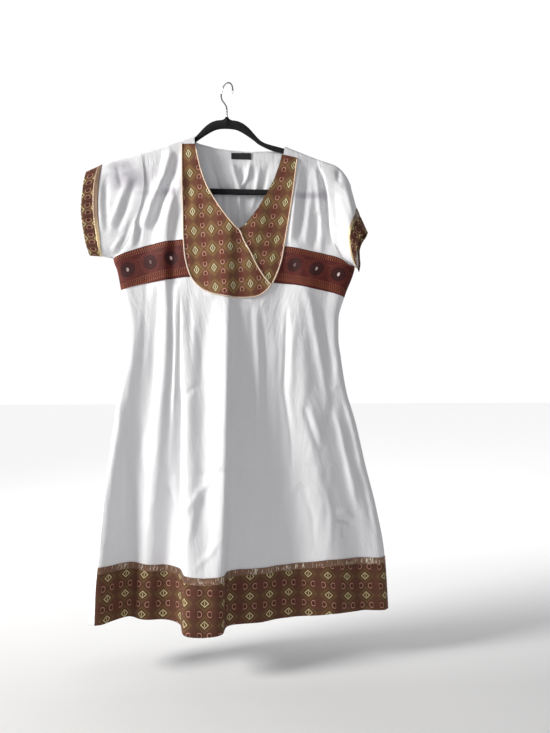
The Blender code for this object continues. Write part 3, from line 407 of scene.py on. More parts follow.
def smooth(table, at):
    """Monotone cubic through a table's second column, against its rising first column."""
    places = np.array([row[0] for row in table], float)
    values = np.array([row[1] for row in table], float)
    at = np.clip(at, places[0], places[-1])
    gaps = np.diff(places)
    slopes = np.diff(values) / gaps
    tangents = np.concatenate(([slopes[0]], np.zeros(len(values) - 2), [slopes[-1]]))
    product = slopes[:-1] * slopes[1:]
    total = np.where(product > 0, slopes[:-1] + slopes[1:], 1.0)
    tangents[1:-1] = np.where(product > 0, 2 * product / total, 0.0)
    index = np.clip(np.searchsorted(places, at, side="right") - 1, 0, len(gaps) - 1)
    gap = gaps[index]
    t = (at - places[index]) / gap
    start = values[index] * (1 + 2 * t) * (1 - t) ** 2 + tangents[index] * gap * t * (1 - t) ** 2
    end = values[index + 1] * t * t * (3 - 2 * t) - tangents[index + 1] * gap * t * t * (1 - t)
    return start + end


def straight(table, at):
    """Straight lines through a table's second column, against its rising first column."""
    return np.interp(at, [row[0] for row in table], [row[1] for row in table])


def fold_line_points(drop):
    """X and depth of every fold line at each drop, in the order of FOLD_LINES."""
    left = smooth(LEFT_EDGE, drop)
    right = smooth(RIGHT_EDGE, drop)
    seam = left + smooth(LEFT_SEAM_INSET, drop)
    left_half = smooth(LEFT_ARMHOLE, drop)
    right_half = smooth(RIGHT_ARMHOLE, drop)
    left_depth = smooth(LEFT_SEAM_DEPTH, drop)
    right_depth = smooth(RIGHT_SEAM_DEPTH, drop)
    box = {row[0]: smooth(tuple(zip(PLACE_LEVELS, row[1:4])), drop) for row in BOX_FOLDS}
    xs = []
    depths = []
    for row in FOLD_LINES:
        place = smooth(tuple(zip(PLACE_LEVELS, row[1:4])), drop)
        depth = smooth(tuple(zip(DEPTH_LEVELS, row[4:8])), drop)
        if row in LEFT_FOLDS:
            x = seam + (box["box left root"] - seam) * place
        elif row in BOX_FOLDS:
            x = place
        elif row in RIGHT_FOLDS:
            x = box["box right root"] + (right - box["box right root"]) * place
        else:
            x = right + (left - right) * place
        if row[0] == "left edge":
            depth = left_depth - left_half
        if row[0] == "right edge":
            depth = right_depth - right_half
        if row[0] == "right edge behind":
            depth = right_depth + right_half
        if row[0] == "left edge behind":
            x = seam
            depth = left_depth + left_half
        xs.append(x)
        depths.append(depth)
    return np.stack(xs, -1), np.stack(depths, -1)


def section(u, drop):
    """Point (x, depth) at place u of the closed curve through the fold lines at a drop."""
    u, drop = np.broadcast_arrays(np.asarray(u, float), np.asarray(drop, float))
    xs, depths = fold_line_points(drop)
    index = np.floor(u).astype(int)
    t = u - index
    corners = []
    for offset in (-1, 0, 1, 2):
        line = ((index + offset) % LINES)[..., None]
        x = np.take_along_axis(xs, line, -1)[..., 0]
        depth = np.take_along_axis(depths, line, -1)[..., 0]
        corners.append(np.stack((x, depth), -1))
    knots = [np.zeros_like(t)]
    for before, after in zip(corners, corners[1:]):
        length = np.linalg.norm(after - before, axis=-1)
        knots.append(knots[-1] + np.sqrt(np.maximum(length, 0.01)))
    at = knots[1] + (knots[2] - knots[1]) * t

    def mix(first, second, low, high):
        share = ((at - low) / (high - low))[..., None]
        return first * (1 - share) + second * share

    a1 = mix(corners[0], corners[1], knots[0], knots[1])
    a2 = mix(corners[1], corners[2], knots[1], knots[2])
    a3 = mix(corners[2], corners[3], knots[2], knots[3])
    b1 = mix(a1, a2, knots[0], knots[2])
    b2 = mix(a2, a3, knots[1], knots[3])
    point = mix(b1, b2, knots[1], knots[2])
    return point[..., 0], point[..., 1]


def is_back(u):
    """True on the back's part of the curve."""
    return np.mod(u, LINES) > BACK_START - 0.5


def top_drop(u):
    """Drop of the shoulder or neckline at place u, found by halving."""
    u = np.asarray(u, float)
    low = np.full(u.shape, 100.0)
    high = np.full(u.shape, 300.0)
    for _ in range(32):
        middle = 0.5 * (low + high)
        x = section(u, middle)[0]
        outline = np.where(is_back(u), straight(BACK_TOP, x), straight(FRONT_TOP, x))
        above = middle < outline
        low = np.where(above, middle, low)
        high = np.where(above, high, middle)
    return 0.5 * (low + high)


def line_drop(u, front, back):
    """Drop of a line across the body, from a table against x for the front and one for the back."""
    drop = np.full(np.shape(u), 380.0)
    for _ in range(12):
        x = section(u, drop)[0]
        drop = np.where(is_back(u), smooth(back, x), smooth(front, x))
    return drop


def hem_drop(u):
    """Drop of the hem at place u."""
    drops = np.array([row[8] for row in FOLD_LINES] + [FOLD_LINES[0][8]], float)
    return np.interp(np.mod(u, LINES), np.arange(LINES + 1), drops)


def lines_at(u):
    """The five lines across the body at place u: top, band top, band bottom, hem ribbon and hem."""
    hem = hem_drop(u)
    return (
        top_drop(u),
        line_drop(u, BAND_TOP, BACK_BAND_TOP),
        line_drop(u, BAND_BOTTOM, BACK_BAND_BOTTOM),
        hem - HEM_BAND,
        hem,
    )


def table_of_lines():
    """Fine tables of the lines across the body, worked out once: places, and one row for each line."""
    places = np.concatenate((np.linspace(0, RIGHT_END, 2200), np.linspace(BACK_START, BACK_END, 1600)))
    return places, lines_at(places)


def quick_lines(u):
    """The five lines across the body at place u, read from the tables."""
    return [np.interp(u, LINE_PLACES, row) for row in LINE_ROWS]


def cloth(u, v, lines):
    """Body cloth at place u across and v down: v counts the lines across, from the top, 0, to the hem, 4."""
    angle = np.clip(v / ROLL_SHARE, 0, 1) * math.pi / 2
    fall = ROLL * (1 - np.cos(angle))
    top = lines[0]
    upper = top + fall + (lines[1] - top - ROLL) * np.clip((v - ROLL_SHARE) / (1 - ROLL_SHARE), 0, 1)
    drop = np.where(v <= 1, upper, 0)
    for step in (1, 2, 3):
        between = lines[step] + (lines[step + 1] - lines[step]) * (v - step)
        drop = np.where(v > step, between, drop)
    x, depth = section(u, drop)
    neck = np.minimum(x - NECK_LEFT, NECK_RIGHT - x) / NECK_SOFT
    closed = np.where(v < ROLL_SHARE, 1 - np.clip(neck, 0, 1), 1.0)
    side = np.where(is_back(u), 0.5 * SEAM_GAP, -0.5 * SEAM_GAP)
    depth = side + (depth - side) * (1 - closed * (1 - np.sin(angle)))
    return np.stack((x, depth, -drop), -1)


def lengths_along(points):
    """Distance along a line of points to each of them."""
    return np.concatenate(([0.0], np.cumsum(np.linalg.norm(np.diff(points, axis=0), axis=1))))


def unit(vectors):
    """Vectors scaled to length 1."""
    return vectors / np.maximum(np.linalg.norm(vectors, axis=-1, keepdims=True), 1e-12)


def place_at(x, drop, left, right):
    """Place between one on the left and one on the right where the section passes x at a drop."""
    for _ in range(40):
        middle = 0.5 * (left + right)
        if section(middle, drop)[0] < x:
            left = middle
        else:
            right = middle
    return 0.5 * (left + right)


def curve_through(points, spacing):
    """Smooth open curve through points, sampled about every spacing millimetres."""
    points = np.array(points, float)
    ends = np.concatenate((2 * points[:1] - points[1:2], points, 2 * points[-1:] - points[-2:-1]))
    made = []
    for k in range(len(points) - 1):
        a, b, c, d = ends[k:k + 4]
        count = max(1, round(float(np.linalg.norm(c - b)) / spacing))
        for t in np.arange(count) / count:
            made.append(0.5 * (2 * b + (c - a) * t + (2 * a - 5 * b + 4 * c - d) * t ** 2
                               + (3 * b - 3 * c + d - a) * t ** 3))
    made.append(points[-1])
    return np.array(made)


def along(points, shares):
    """Points at shares of the length of a smooth curve."""
    dense = curve_through(points, 2.0)
    length = lengths_along(dense)
    return np.stack([np.interp(shares, length / length[-1], dense[:, k]) for k in range(3)], -1)


def crease_height(x, drop, creases):
    """Height of all creases at places seen from the front, each fading towards its ends."""
    height = np.zeros(np.broadcast(x, drop).shape)
    for _, size, half_width, points in creases:
        line = np.array(points, float)
        reach = 3.2 * half_width
        near = ((x > line[:, 0].min() - reach) & (x < line[:, 0].max() + reach)
                & (drop > line[:, 1].min() - reach) & (drop < line[:, 1].max() + reach))
        if not near.any():
            continue
        px, pz = x[near], drop[near]
        steps = np.diff(line, axis=0)
        lengths = np.linalg.norm(steps, axis=1)
        starts = np.concatenate(([0.0], np.cumsum(lengths)))
        best = np.full(px.shape, 1e9)
        place = np.zeros(px.shape)
        for a, step, length, start in zip(line, steps, lengths, starts):
            t = np.clip(((px - a[0]) * step[0] + (pz - a[1]) * step[1]) / length ** 2, 0, 1)
            gap = np.hypot(px - a[0] - step[0] * t, pz - a[1] - step[1] * t)
            closer = gap < best
            best = np.where(closer, gap, best)
            place = np.where(closer, start + t * length, place)
        share = place / starts[-1]
        taper = np.clip(4 * share * (1 - share), 0, 1) ** 0.6
        height[near] += size * np.exp(-(best / half_width) ** 2) * taper
    return height


def cloth_waves(x, drop, seed):
    """Small waves that hang down the cloth, a millimetre high or less."""
    rng = np.random.default_rng(seed)
    height = np.zeros(np.broadcast(x, drop).shape)
    for _ in range(26):
        across = rng.uniform(18, 70)
        down = rng.uniform(90, 420)
        phase = rng.uniform(0, 2 * math.pi, 3)
        lean = rng.uniform(-0.25, 0.25)
        bend = 1.3 * np.sin(drop / down + phase[1])
        wave = np.sin(2 * math.pi * (x + lean * drop) / across + phase[0] + bend)
        height += wave * np.sin(2 * math.pi * drop / down + phase[2]) * 0.02 * math.sqrt(across)
    return height


def grid_normals(points, round_across=False):
    """Unit normals of a grid of points, facing away from the cloth's inside."""
    if round_across:
        across = np.roll(points, -1, axis=0) - np.roll(points, 1, axis=0)
    else:
        across = np.gradient(points, axis=0)
    down = np.gradient(points, axis=1)
    return unit(np.cross(down, across))


def new_mesh(name, points, faces, uvs, material, replaces, shade=None):
    """Piece from points in millimetres, quads and a cut map, riding on the one body."""
    mesh = bpy.data.meshes.new(name)
    mesh.from_pydata((np.asarray(points, float).reshape(-1, 3) * MM).tolist(), [], faces)
    mesh.shade_smooth()
    mesh.materials.append(material)
    if uvs is not None:
        layer = mesh.uv_layers.new(name="cut")
        corners = np.empty(len(mesh.loops), np.int32)
        mesh.loops.foreach_get("vertex_index", corners)
        flat = np.asarray(uvs, float).reshape(-1, 2) / UV_UNIT
        layer.data.foreach_set("uv", flat[corners].ravel())
    # The painted shade of the hanger is kept on the points for the cloth's material
    if shade is not None:
        painted_shade_attribute = mesh.attributes.new("through", "FLOAT", "POINT")
        painted_shade_attribute.data.foreach_set("value", np.asarray(shade, float).ravel())
    piece = bpy.data.objects.new(f"shown_{name}", mesh)
    bpy.context.scene.collection.objects.link(piece)
    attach(piece, "root")
    if replaces:
        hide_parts(*replaces)
    return piece


def facing(normals, back=False):
    """Normals of a grid, turned round if need be so that the middle one faces the front, or the back."""
    middle = normals[normals.shape[0] // 2, normals.shape[1] // 2, 1]
    return normals if (middle > 0) == back else -normals


def grid_faces(across, down, round_across=False, round_down=False):
    """Quads of a grid, wound so that they face along grid_normals."""
    faces = []
    for i in range(across if round_across else across - 1):
        a = i * down
        b = ((i + 1) % across) * down
        for j in range(down if round_down else down - 1):
            k = (j + 1) % down
            faces.append((a + j, a + k, b + k, b + j))
    return faces


def tucked(points, normals, rim, rows_in, ends):
    """Grid with a folded edge at its first and last row: over the rim and a little way back inside."""
    parts = [points]
    if ends[0]:
        inside = points[:, [rows_in, 1, 0]] - normals[:, [rows_in, 1, 0]] * rim
        parts.insert(0, inside)
    if ends[1]:
        inside = points[:, [-1, -2, -1 - rows_in]] - normals[:, [-1, -2, -1 - rows_in]] * rim
        parts.append(inside)
    return np.concatenate(parts, axis=1)


def cut_map(points):
    """Distances across and down a grid of cloth, in millimetres, the way it lay before it was sewn."""
    middle = points.shape[1] // 2
    across = lengths_along(points[:, middle])
    down = np.cumsum(np.linalg.norm(np.diff(points, axis=1), axis=2), axis=1)
    down = np.concatenate((np.zeros((points.shape[0], 1)), down), axis=1)
    return np.stack((np.broadcast_to(across[:, None], down.shape), down), -1)


def even_places(low, high, count, drops, fixed=()):
    """Places between low and high that are evenly spaced along the cloth at some drops."""
    fine = np.linspace(low, high, 2400)
    total = np.zeros(fine.shape)
    for drop in drops:
        x, depth = section(fine, np.full(fine.shape, float(drop)))
        length = np.concatenate(([0.0], np.cumsum(np.hypot(np.diff(x), np.diff(depth)))))
        total += length / length[-1]
    places = np.interp(np.linspace(0, total[-1], count), total, fine)
    for value in fixed:
        near = int(np.argmin(np.abs(places[1:-1] - value))) + 1
        places[near] = value
    return np.sort(places)


def rows_between(low, high, count):
    """Rows v from low up to but without high."""
    return np.linspace(low, high, count, endpoint=False)


def height_field():
    """Depth of the front at every millimetre of x, and every two of drop."""
    us = np.linspace(0, RIGHT_END, 1500)
    drops = np.arange(100, 1066, 2.0)
    xs = np.arange(-300, 341, 1.0)
    rows = []
    for drop in drops:
        x, depth = section(us, np.full(us.shape, drop))
        order = np.argsort(x)
        rows.append(np.interp(xs, x[order], depth[order]))
    return drops, xs, np.array(rows)


LINE_PLACES, LINE_ROWS = table_of_lines()
FIELD_DROPS, FIELD_XS, FIELD = height_field()


def depth_at(x, drop):
    """Depth of the front at a place, without its creases."""
    column = np.clip(x - FIELD_XS[0], 0, len(FIELD_XS) - 1.001)
    row = np.clip((drop - FIELD_DROPS[0]) / 2.0, 0, len(FIELD_DROPS) - 1.001)
    i, j = np.floor(row).astype(int), np.floor(column).astype(int)
    s, t = row - i, column - j
    top = FIELD[i, j] * (1 - t) + FIELD[i, j + 1] * t
    low = FIELD[i + 1, j] * (1 - t) + FIELD[i + 1, j + 1] * t
    return top * (1 - s) + low * s


def relief_at(x, drop, creases=FRONT_CREASES, seed=FRONT_SEED):
    """All that is raised or sunk on a panel's cloth, the front's unless others are given."""
    return crease_height(x, drop, creases) + cloth_waves(x, drop, seed)


def front_at(x, drop, lift=0.0):
    """Points on the front's cloth at places seen from the front, raised by a lift."""
    x, drop = np.broadcast_arrays(np.asarray(x, float), np.asarray(drop, float))
    gap = 1.5
    depth = depth_at(x, drop)
    slope_x = (depth_at(x + gap, drop) - depth_at(x - gap, drop)) / (2 * gap)
    slope_z = -(depth_at(x, drop + gap) - depth_at(x, drop - gap)) / (2 * gap)
    normal = unit(np.stack((slope_x, -np.ones_like(depth), slope_z), -1))
    total = lift + relief_at(x, drop)
    return np.stack((x, depth, -drop), -1) + normal * total[..., None]


def through_shade(points):
    """Strength of the painted shade at each point, where the dark hanger shows through."""
    shade = np.zeros(points.shape[:-1])
    for x, drop, half_x, half_z, strength in HANGER_SHADE_SPOTS:
        gap = ((points[..., 0] - x) / half_x) ** 2 + ((-points[..., 2] - drop) / half_z) ** 2
        shade = np.maximum(shade, strength * np.exp(-gap ** 1.5))
    return shade


class Maths:
    """Writes a material's node maths as calls, each returning a socket."""

    def __init__(self, material):
        self.tree = material.node_tree

    def node(self, kind, **values):
        made = self.tree.nodes.new(kind)
        for name, value in values.items():
            setattr(made, name, value)
        return made

    def set(self, socket, value):
        if isinstance(value, bpy.types.NodeSocket):
            self.tree.links.new(value, socket)
        else:
            socket.default_value = value

    def do(self, operation, *values, clamp=False):
        made = self.node("ShaderNodeMath", operation=operation, use_clamp=clamp)
        for socket, value in zip(made.inputs, values):
            self.set(socket, value)
        return made.outputs[0]

    def wrap(self, value, period):
        """Signed distance to the nearest whole repeat."""
        return self.do("WRAP", value, 0.5 * period, -0.5 * period)

    def size(self, value):
        return self.do("ABSOLUTE", value)

    def below(self, value, edge, soft):
        """1 where a value is under an edge, 0 above it, with a soft step."""
        return self.do("MULTIPLY_ADD", value, -1.0 / soft, edge / soft + 0.5, clamp=True)

    def line(self, value, middle, half, soft):
        """1 on a line where a value is near a middle."""
        return self.below(self.size(self.do("SUBTRACT", value, middle)), half, soft)

    def diamond(self, a, b, half_a, half_b):
        """1 on the edge of a diamond, less inside it."""
        return self.do("ADD", self.do("DIVIDE", a, half_a), self.do("DIVIDE", b, half_b))

    def oval(self, a, b, half_a, half_b):
        """1 on the edge of an oval, less inside it."""
        return self.do("ADD", self.do("POWER", self.do("DIVIDE", a, half_a), 2.0),
                       self.do("POWER", self.do("DIVIDE", b, half_b), 2.0))

    def tint(self, colour, share, strength, other):
        """A colour with some of another one over it where the share is 1."""
        return self.mix(self.do("MULTIPLY", share, strength), colour, other)

    def both(self, *values):
        result = values[0]
        for value in values[1:]:
            result = self.do("MULTIPLY", result, value)
        return result

    def either(self, *values):
        result = values[0]
        for value in values[1:]:
            result = self.do("MAXIMUM", result, value)
        return result

    def mix(self, share, first, second):
        made = self.node("ShaderNodeMix", data_type="RGBA")
        self.set(made.inputs[0], share)
        for socket, value in zip((made.inputs[6], made.inputs[7]), (first, second)):
            self.set(socket, value if isinstance(value, bpy.types.NodeSocket) else (*value, 1.0))
        return made.outputs[2]

    def cut_places(self):
        """Distances across and down the cut, in millimetres."""
        uv = self.node("ShaderNodeUVMap", uv_map="cut")
        split = self.node("ShaderNodeSeparateXYZ")
        self.tree.links.new(uv.outputs[0], split.inputs[0])
        across, down = (self.do("MULTIPLY", split.outputs[k], UV_UNIT) for k in (0, 1))
        return across, down, uv.outputs[0]

    def noise(self, vector, scale, detail=3.0, stretch=None):
        if stretch:
            mapping = self.node("ShaderNodeMapping")
            self.set(mapping.inputs["Scale"], stretch)
            self.set(mapping.inputs["Vector"], vector)
            vector = mapping.outputs[0]
        made = self.node("ShaderNodeTexNoise")
        self.set(made.inputs["Vector"], vector)
        made.inputs["Scale"].default_value = scale
        made.inputs["Detail"].default_value = detail
        return made.outputs[0]

    def threads(self, across, down, size):
        """Height of a plain weave with threads of a size in millimetres."""
        one = self.do("SINE", self.do("MULTIPLY", across, 2 * math.pi / size))
        two = self.do("SINE", self.do("MULTIPLY", down, 2 * math.pi / size))
        return self.do("MULTIPLY", one, two)

    def bump(self, height, strength, distance, before=None):
        made = self.node("ShaderNodeBump")
        made.inputs["Strength"].default_value = strength
        made.inputs["Distance"].default_value = distance
        self.set(made.inputs["Height"], height)
        if before is not None:
            self.set(made.inputs["Normal"], before)
        return made.outputs[0]


def new_material(name, roughness, metallic=0.0):
    """Material with its shader and the helper that writes its nodes."""
    material = bpy.data.materials.new(name)
    material.use_nodes = True
    shader = material.node_tree.nodes["Principled BSDF"]
    shader.inputs["Roughness"].default_value = roughness
    shader.inputs["Metallic"].default_value = metallic
    return material, shader, Maths(material)


def white_cotton(name):
    """Thin white cotton: fine weave, faint thick threads, small wrinkles, and the grey of what is behind,
    painted in as shade.
    """
    material, shader, maths = new_material(name, 0.88)
    shader.inputs["Sheen Weight"].default_value = 0.15
    shader.inputs["Sheen Roughness"].default_value = 0.5
    across, down, uv = maths.cut_places()
    painted_shade_attribute = maths.node("ShaderNodeAttribute", attribute_name="through")
    slubs = maths.noise(uv, 14.0, 4.0, (12.0, 0.8, 1.0))
    soft = maths.noise(uv, 1.6, 3.0)
    tone = maths.tint(CLOTH_WHITE, soft, 0.35, (0.80, 0.80, 0.83))
    tone = maths.tint(tone, slubs, 0.12, (0.70, 0.70, 0.74))
    # Painted shade: grey where the dark hanger shows through the cloth
    tone = maths.mix(painted_shade_attribute.outputs["Fac"], tone, CLOTH_SHADE)
    maths.set(shader.inputs["Base Color"], tone)
    wrinkles = maths.noise(uv, 5.0, 5.0, (2.2, 0.8, 1.0))
    rough = maths.bump(wrinkles, 0.35, 0.0035)
    fine = maths.bump(maths.threads(across, down, 0.7), 0.25, 0.0001, rough)
    maths.set(shader.inputs["Normal"], maths.bump(slubs, 0.2, 0.0006, fine))
    return material


def printed_cotton(name, repeat, motif, upright_bar, light):
    """Print of pale diamonds in olive lozenges and pairs of half-round eyes in rust ones."""
    material, shader, maths = new_material(name, 0.8)
    shader.inputs["Specular IOR Level"].default_value = 0.25
    along_stripe, across_stripe, uv = maths.cut_places()
    length, width = repeat
    diamond_a, diamond_b, eye_a, eye_b = motif
    a = maths.size(maths.wrap(along_stripe, length))
    b = maths.size(maths.wrap(across_stripe, width))
    far_a = maths.do("SUBTRACT", 0.5 * length, a)
    far_b = maths.do("SUBTRACT", 0.5 * width, b)
    lozenge = maths.diamond(a, b, 0.5 * length, 0.5 * width)
    edge_noise = maths.do("MULTIPLY_ADD", maths.noise(uv, 60.0, 2.0), 0.16, -0.08)
    lozenge = maths.do("ADD", lozenge, edge_noise)
    olive = tuple(light * value for value in (0.142, 0.077, 0.034))
    rust = tuple(light * value for value in (0.105, 0.043, 0.025))
    dark = tuple(light * value for value in (0.036, 0.015, 0.008))
    pale_olive = tuple(light * value for value in (0.24, 0.145, 0.04))
    plum = tuple(light * value for value in (0.095, 0.018, 0.015))
    contrast = 0.5 if upright_bar else 1.0
    colour = maths.tint(rust, maths.below(lozenge, 1.0, 0.4), contrast, olive)
    middle = maths.diamond(far_a, far_b, 0.42 * length, 0.2 * width)
    colour = maths.tint(colour, maths.below(middle, 0.8, 0.6), 0.6 * contrast, plum)
    colour = maths.tint(colour, maths.line(lozenge, 0.74, 0.04, 0.08), 0.4, pale_olive)
    colour = maths.tint(colour, maths.line(lozenge, 1.0, 0.03, 0.12), 0.4, dark)
    colour = maths.tint(colour, maths.line(lozenge, 1.28, 0.04, 0.12), 0.35, plum)
    colour = maths.tint(colour, maths.below(lozenge, 0.58, 0.12), 0.3, dark)
    diamond = maths.diamond(a, b, diamond_a, diamond_b)
    ring = maths.line(diamond, 0.88, 0.11, 0.1)
    thin, tall = (a, b) if upright_bar else (b, a)
    bar = maths.both(maths.below(thin, 0.55, 0.4), maths.below(tall, 3.6, 0.8))
    cream = tuple(min(1.0, light * value) for value in (0.74, 0.64, 0.34))
    colour = maths.mix(maths.either(ring, bar), colour, cream)
    side = maths.do("SUBTRACT", far_a, 0.25 * length)
    round_part = maths.oval(maths.size(side), far_b, eye_a, eye_b)
    inside_flat = maths.do("MULTIPLY_ADD", side, 1.0 / 0.5, 0.55 * eye_a / 0.5 + 0.5, clamp=True)
    rim = maths.both(maths.line(round_part, 0.80, 0.17, 0.2), inside_flat)
    flat_side = maths.both(maths.line(side, -0.55 * eye_a, 0.4, 0.4), maths.below(far_b, 0.8 * eye_b, 0.6),
                           0.45)
    pink = tuple(min(1.0, light * value) for value in (0.62, 0.30, 0.22))
    colour = maths.tint(colour, maths.both(maths.below(round_part, 0.6, 0.2), inside_flat), 0.45, dark)
    colour = maths.mix(maths.either(rim, flat_side), colour, pink)
    colour = maths.tint(colour, maths.noise(uv, 40.0, 3.0), 0.22, dark)
    maths.set(shader.inputs["Base Color"], colour)
    weave = maths.threads(along_stripe, across_stripe, 0.8)
    wrinkles = maths.bump(maths.noise(uv, 5.0, 4.0), 0.3, 0.002)
    maths.set(shader.inputs["Normal"], maths.bump(weave, 0.3, 0.00012, wrinkles))
    return material


def woven_ribbon(name, motifs):
    """Woven band: ribbed red-brown ground, round motifs and rows of pale ticks along both long edges."""
    material, shader, maths = new_material(name, 0.62)
    shader.inputs["Specular IOR Level"].default_value = 0.25
    along_band, from_top, uv = maths.cut_places()
    a = maths.wrap(along_band, MOTIF_REPEAT)
    b = maths.do("SUBTRACT", from_top, MOTIF_ROW)
    radius = maths.do("SQRT", maths.oval(maths.size(a), maths.size(b), 1.0, 1.0))
    angle = maths.do("ARCTAN2", b, a)
    petals = maths.do("SINE", maths.do("MULTIPLY", angle, 22.0))
    ground = maths.mix(maths.noise(uv, 9.0, 3.0), (0.108, 0.016, 0.011), (0.070, 0.010, 0.007))
    tan = (0.40, 0.125, 0.050)
    light_red = (0.175, 0.034, 0.024)
    tick_gap = maths.wrap(along_band, 4.4)
    tick = maths.below(maths.size(tick_gap), 0.75, 0.6)
    other_gap = maths.wrap(maths.do("ADD", along_band, 2.2), 4.4)
    other_tick = maths.below(maths.size(other_gap), 0.6, 0.6)
    rows = maths.either(
        maths.both(tick, maths.line(from_top, 4.2, 2.6, 0.8)),
        maths.both(other_tick, maths.line(from_top, 9.6, 1.9, 0.8)),
        maths.both(tick, maths.line(from_top, 67.5, 3.0, 0.8)),
        maths.both(other_tick, maths.line(from_top, 61.4, 2.2, 0.8)),
        maths.both(tick, maths.line(from_top, 56.6, 1.6, 0.8)),
    )
    outside_ring = maths.do("SUBTRACT", 1.0, maths.below(radius, 22.0, 1.0))
    worn = maths.do("MULTIPLY_ADD", maths.noise(uv, 30.0, 2.0), 0.9, 0.3, clamp=True)
    colour = maths.mix(maths.both(rows, outside_ring, worn), ground, tan)
    corner_ticks = maths.both(other_tick, outside_ring, maths.line(from_top, 22.0, 1.6, 1.0))
    colour = maths.tint(colour, corner_ticks, 0.5, tan)
    ring = maths.line(radius, 20.6, 0.8, 0.8)
    colour = maths.tint(colour, ring, 0.6, light_red)
    petal_ring = maths.both(maths.line(radius, 16.6, 1.9, 1.0), maths.below(petals, 0.2, 0.8))
    colour = maths.tint(colour, petal_ring, 0.35, light_red)
    colour = maths.tint(colour, maths.below(radius, 14.0, 1.5), 0.8, (0.026, 0.004, 0.006))
    inner_ring = maths.both(maths.line(radius, 9.4, 0.7, 0.7), maths.below(petals, 0.3, 0.9))
    colour = maths.tint(colour, inner_ring, 0.4, light_red)
    drop_shape = maths.oval(maths.size(a), maths.size(b), 2.5, 4.0)
    paleness = 0.0
    for place, (_, pale) in enumerate(motifs):
        here = maths.below(maths.size(maths.do("SUBTRACT", along_band, place * MOTIF_REPEAT)),
                           0.5 * MOTIF_REPEAT, 0.5)
        paleness = maths.do("MAXIMUM", maths.do("MULTIPLY", here, pale), paleness)
    colour = maths.mix(maths.both(maths.below(drop_shape, 1.0, 0.35), paleness), colour, (0.82, 0.62, 0.58))
    maths.set(shader.inputs["Base Color"], colour)
    ribs = maths.do("SINE", maths.do("MULTIPLY", along_band, 2 * math.pi / 1.1))
    raised = maths.either(rows, ring, petal_ring, inner_ring)
    raised = maths.do("ADD", maths.do("MULTIPLY", ribs, 0.4), raised)
    maths.set(shader.inputs["Normal"], maths.bump(raised, 0.5, 0.0005))
    return material


def crinkled_ribbon(name):
    """Crinkled metallic ribbon: mauve-brown, lighter where its crinkles stand higher, with upright glints
    painted into its colour as highlights.
    """
    material, shader, maths = new_material(name, 0.38, 0.45)
    across, _, uv = maths.cut_places()
    strokes = maths.noise(uv, 16.0, 3.0, (4.0, 0.55, 1.0))
    patches = maths.noise(uv, 3.0, 2.0, (1.0, 0.2, 1.0))
    level = maths.do("ADD", strokes, maths.do("MULTIPLY_ADD", patches, 0.5, -0.27))
    # Painted highlights: near-white glints where the crinkles stand highest
    painted_glint = maths.do("MULTIPLY_ADD", level, 9.0, -4.9, clamp=True)
    ground = maths.mix(strokes, (0.150, 0.075, 0.048), (0.30, 0.17, 0.11))
    maths.set(shader.inputs["Base Color"], maths.mix(painted_glint, ground, (0.95, 0.86, 0.70)))
    ribs = maths.do("SINE", maths.do("MULTIPLY", across, 2 * math.pi / 2.4))
    folds = maths.bump(maths.do("ADD", strokes, maths.do("MULTIPLY", ribs, 0.12)), 0.8, 0.0022)
    maths.set(shader.inputs["Normal"], folds)
    return material


def gold_trim(name):
    """Narrow metallic trim beside the cuffs, tan above and bright gold towards the bottom, the bright gold a
    painted highlight.
    """
    material, shader, maths = new_material(name, 0.4, 0.35)
    _, _, uv = maths.cut_places()
    place = maths.node("ShaderNodeNewGeometry")
    split = maths.node("ShaderNodeSeparateXYZ")
    maths.set(split.inputs[0], place.outputs["Position"])
    # Painted highlight: the trim turns bright gold below a height in the scene
    low = maths.do("MULTIPLY_ADD", split.outputs[2], -22.0, -5.9, clamp=True)
    strokes = maths.noise(uv, 12.0, 3.0, (3.0, 0.8, 1.0))
    dull = maths.mix(strokes, (0.20, 0.12, 0.075), (0.34, 0.24, 0.17))
    bright = maths.mix(strokes, (0.72, 0.46, 0.16), (0.98, 0.86, 0.62))
    maths.set(shader.inputs["Base Color"], maths.mix(low, dull, bright))
    maths.set(shader.inputs["Normal"], maths.bump(strokes, 0.7, 0.0016))
    return material


def plain_finish(name, colour, roughness, metallic=0.0, grain=60.0, depth=0.0002, sheen=0.0):
    """Finish with a fine grain, in the part's own coordinates."""
    material, shader, maths = new_material(name, roughness, metallic)
    shader.inputs["Sheen Weight"].default_value = sheen
    place = maths.node("ShaderNodeTexCoord")
    speck = maths.noise(place.outputs["Object"], grain, 3.0)
    darker = tuple(0.72 * value for value in colour)
    maths.set(shader.inputs["Base Color"], maths.mix(speck, colour, darker))
    maths.set(shader.inputs["Normal"], maths.bump(speck, 0.4, depth))
    return material


WHITE = white_cotton("white_cotton")
BIB_PRINT = printed_cotton("bib_print", BIB_REPEAT, BIB_MOTIF, False, 1.8)
BIB_UNDER_CLOTH = printed_cotton("bib_under_print", BIB_UNDER_REPEAT, BIB_MOTIF, False, 1.65)
HEM_PRINT = printed_cotton("hem_print", HEM_REPEAT, HEM_MOTIF, True, 1.12)
CUFF_PRINT = printed_cotton("cuff_print", CUFF_REPEAT, HEM_MOTIF, False, 1.05)
LEFT_RIBBON = woven_ribbon("left_woven_band", LEFT_MOTIFS)
RIGHT_RIBBON = woven_ribbon("right_woven_band", RIGHT_MOTIFS)
CRINKLED = crinkled_ribbon("crinkled_ribbon")
TRIM = gold_trim("cuff_trim")
CREAM = plain_finish("cream_piping", (0.80, 0.64, 0.50), 0.7, grain=900.0)
BLACK_LABEL = plain_finish("black_label", (0.010, 0.009, 0.009), 0.6, grain=700.0)
FLOCK = plain_finish("black_flock", (0.004, 0.004, 0.005), 0.95, grain=1500.0, depth=0.0004, sheen=0.04)
CHROME = plain_finish("chrome", (0.62, 0.62, 0.64), 0.16, 1.0, grain=40.0, depth=0.00002)


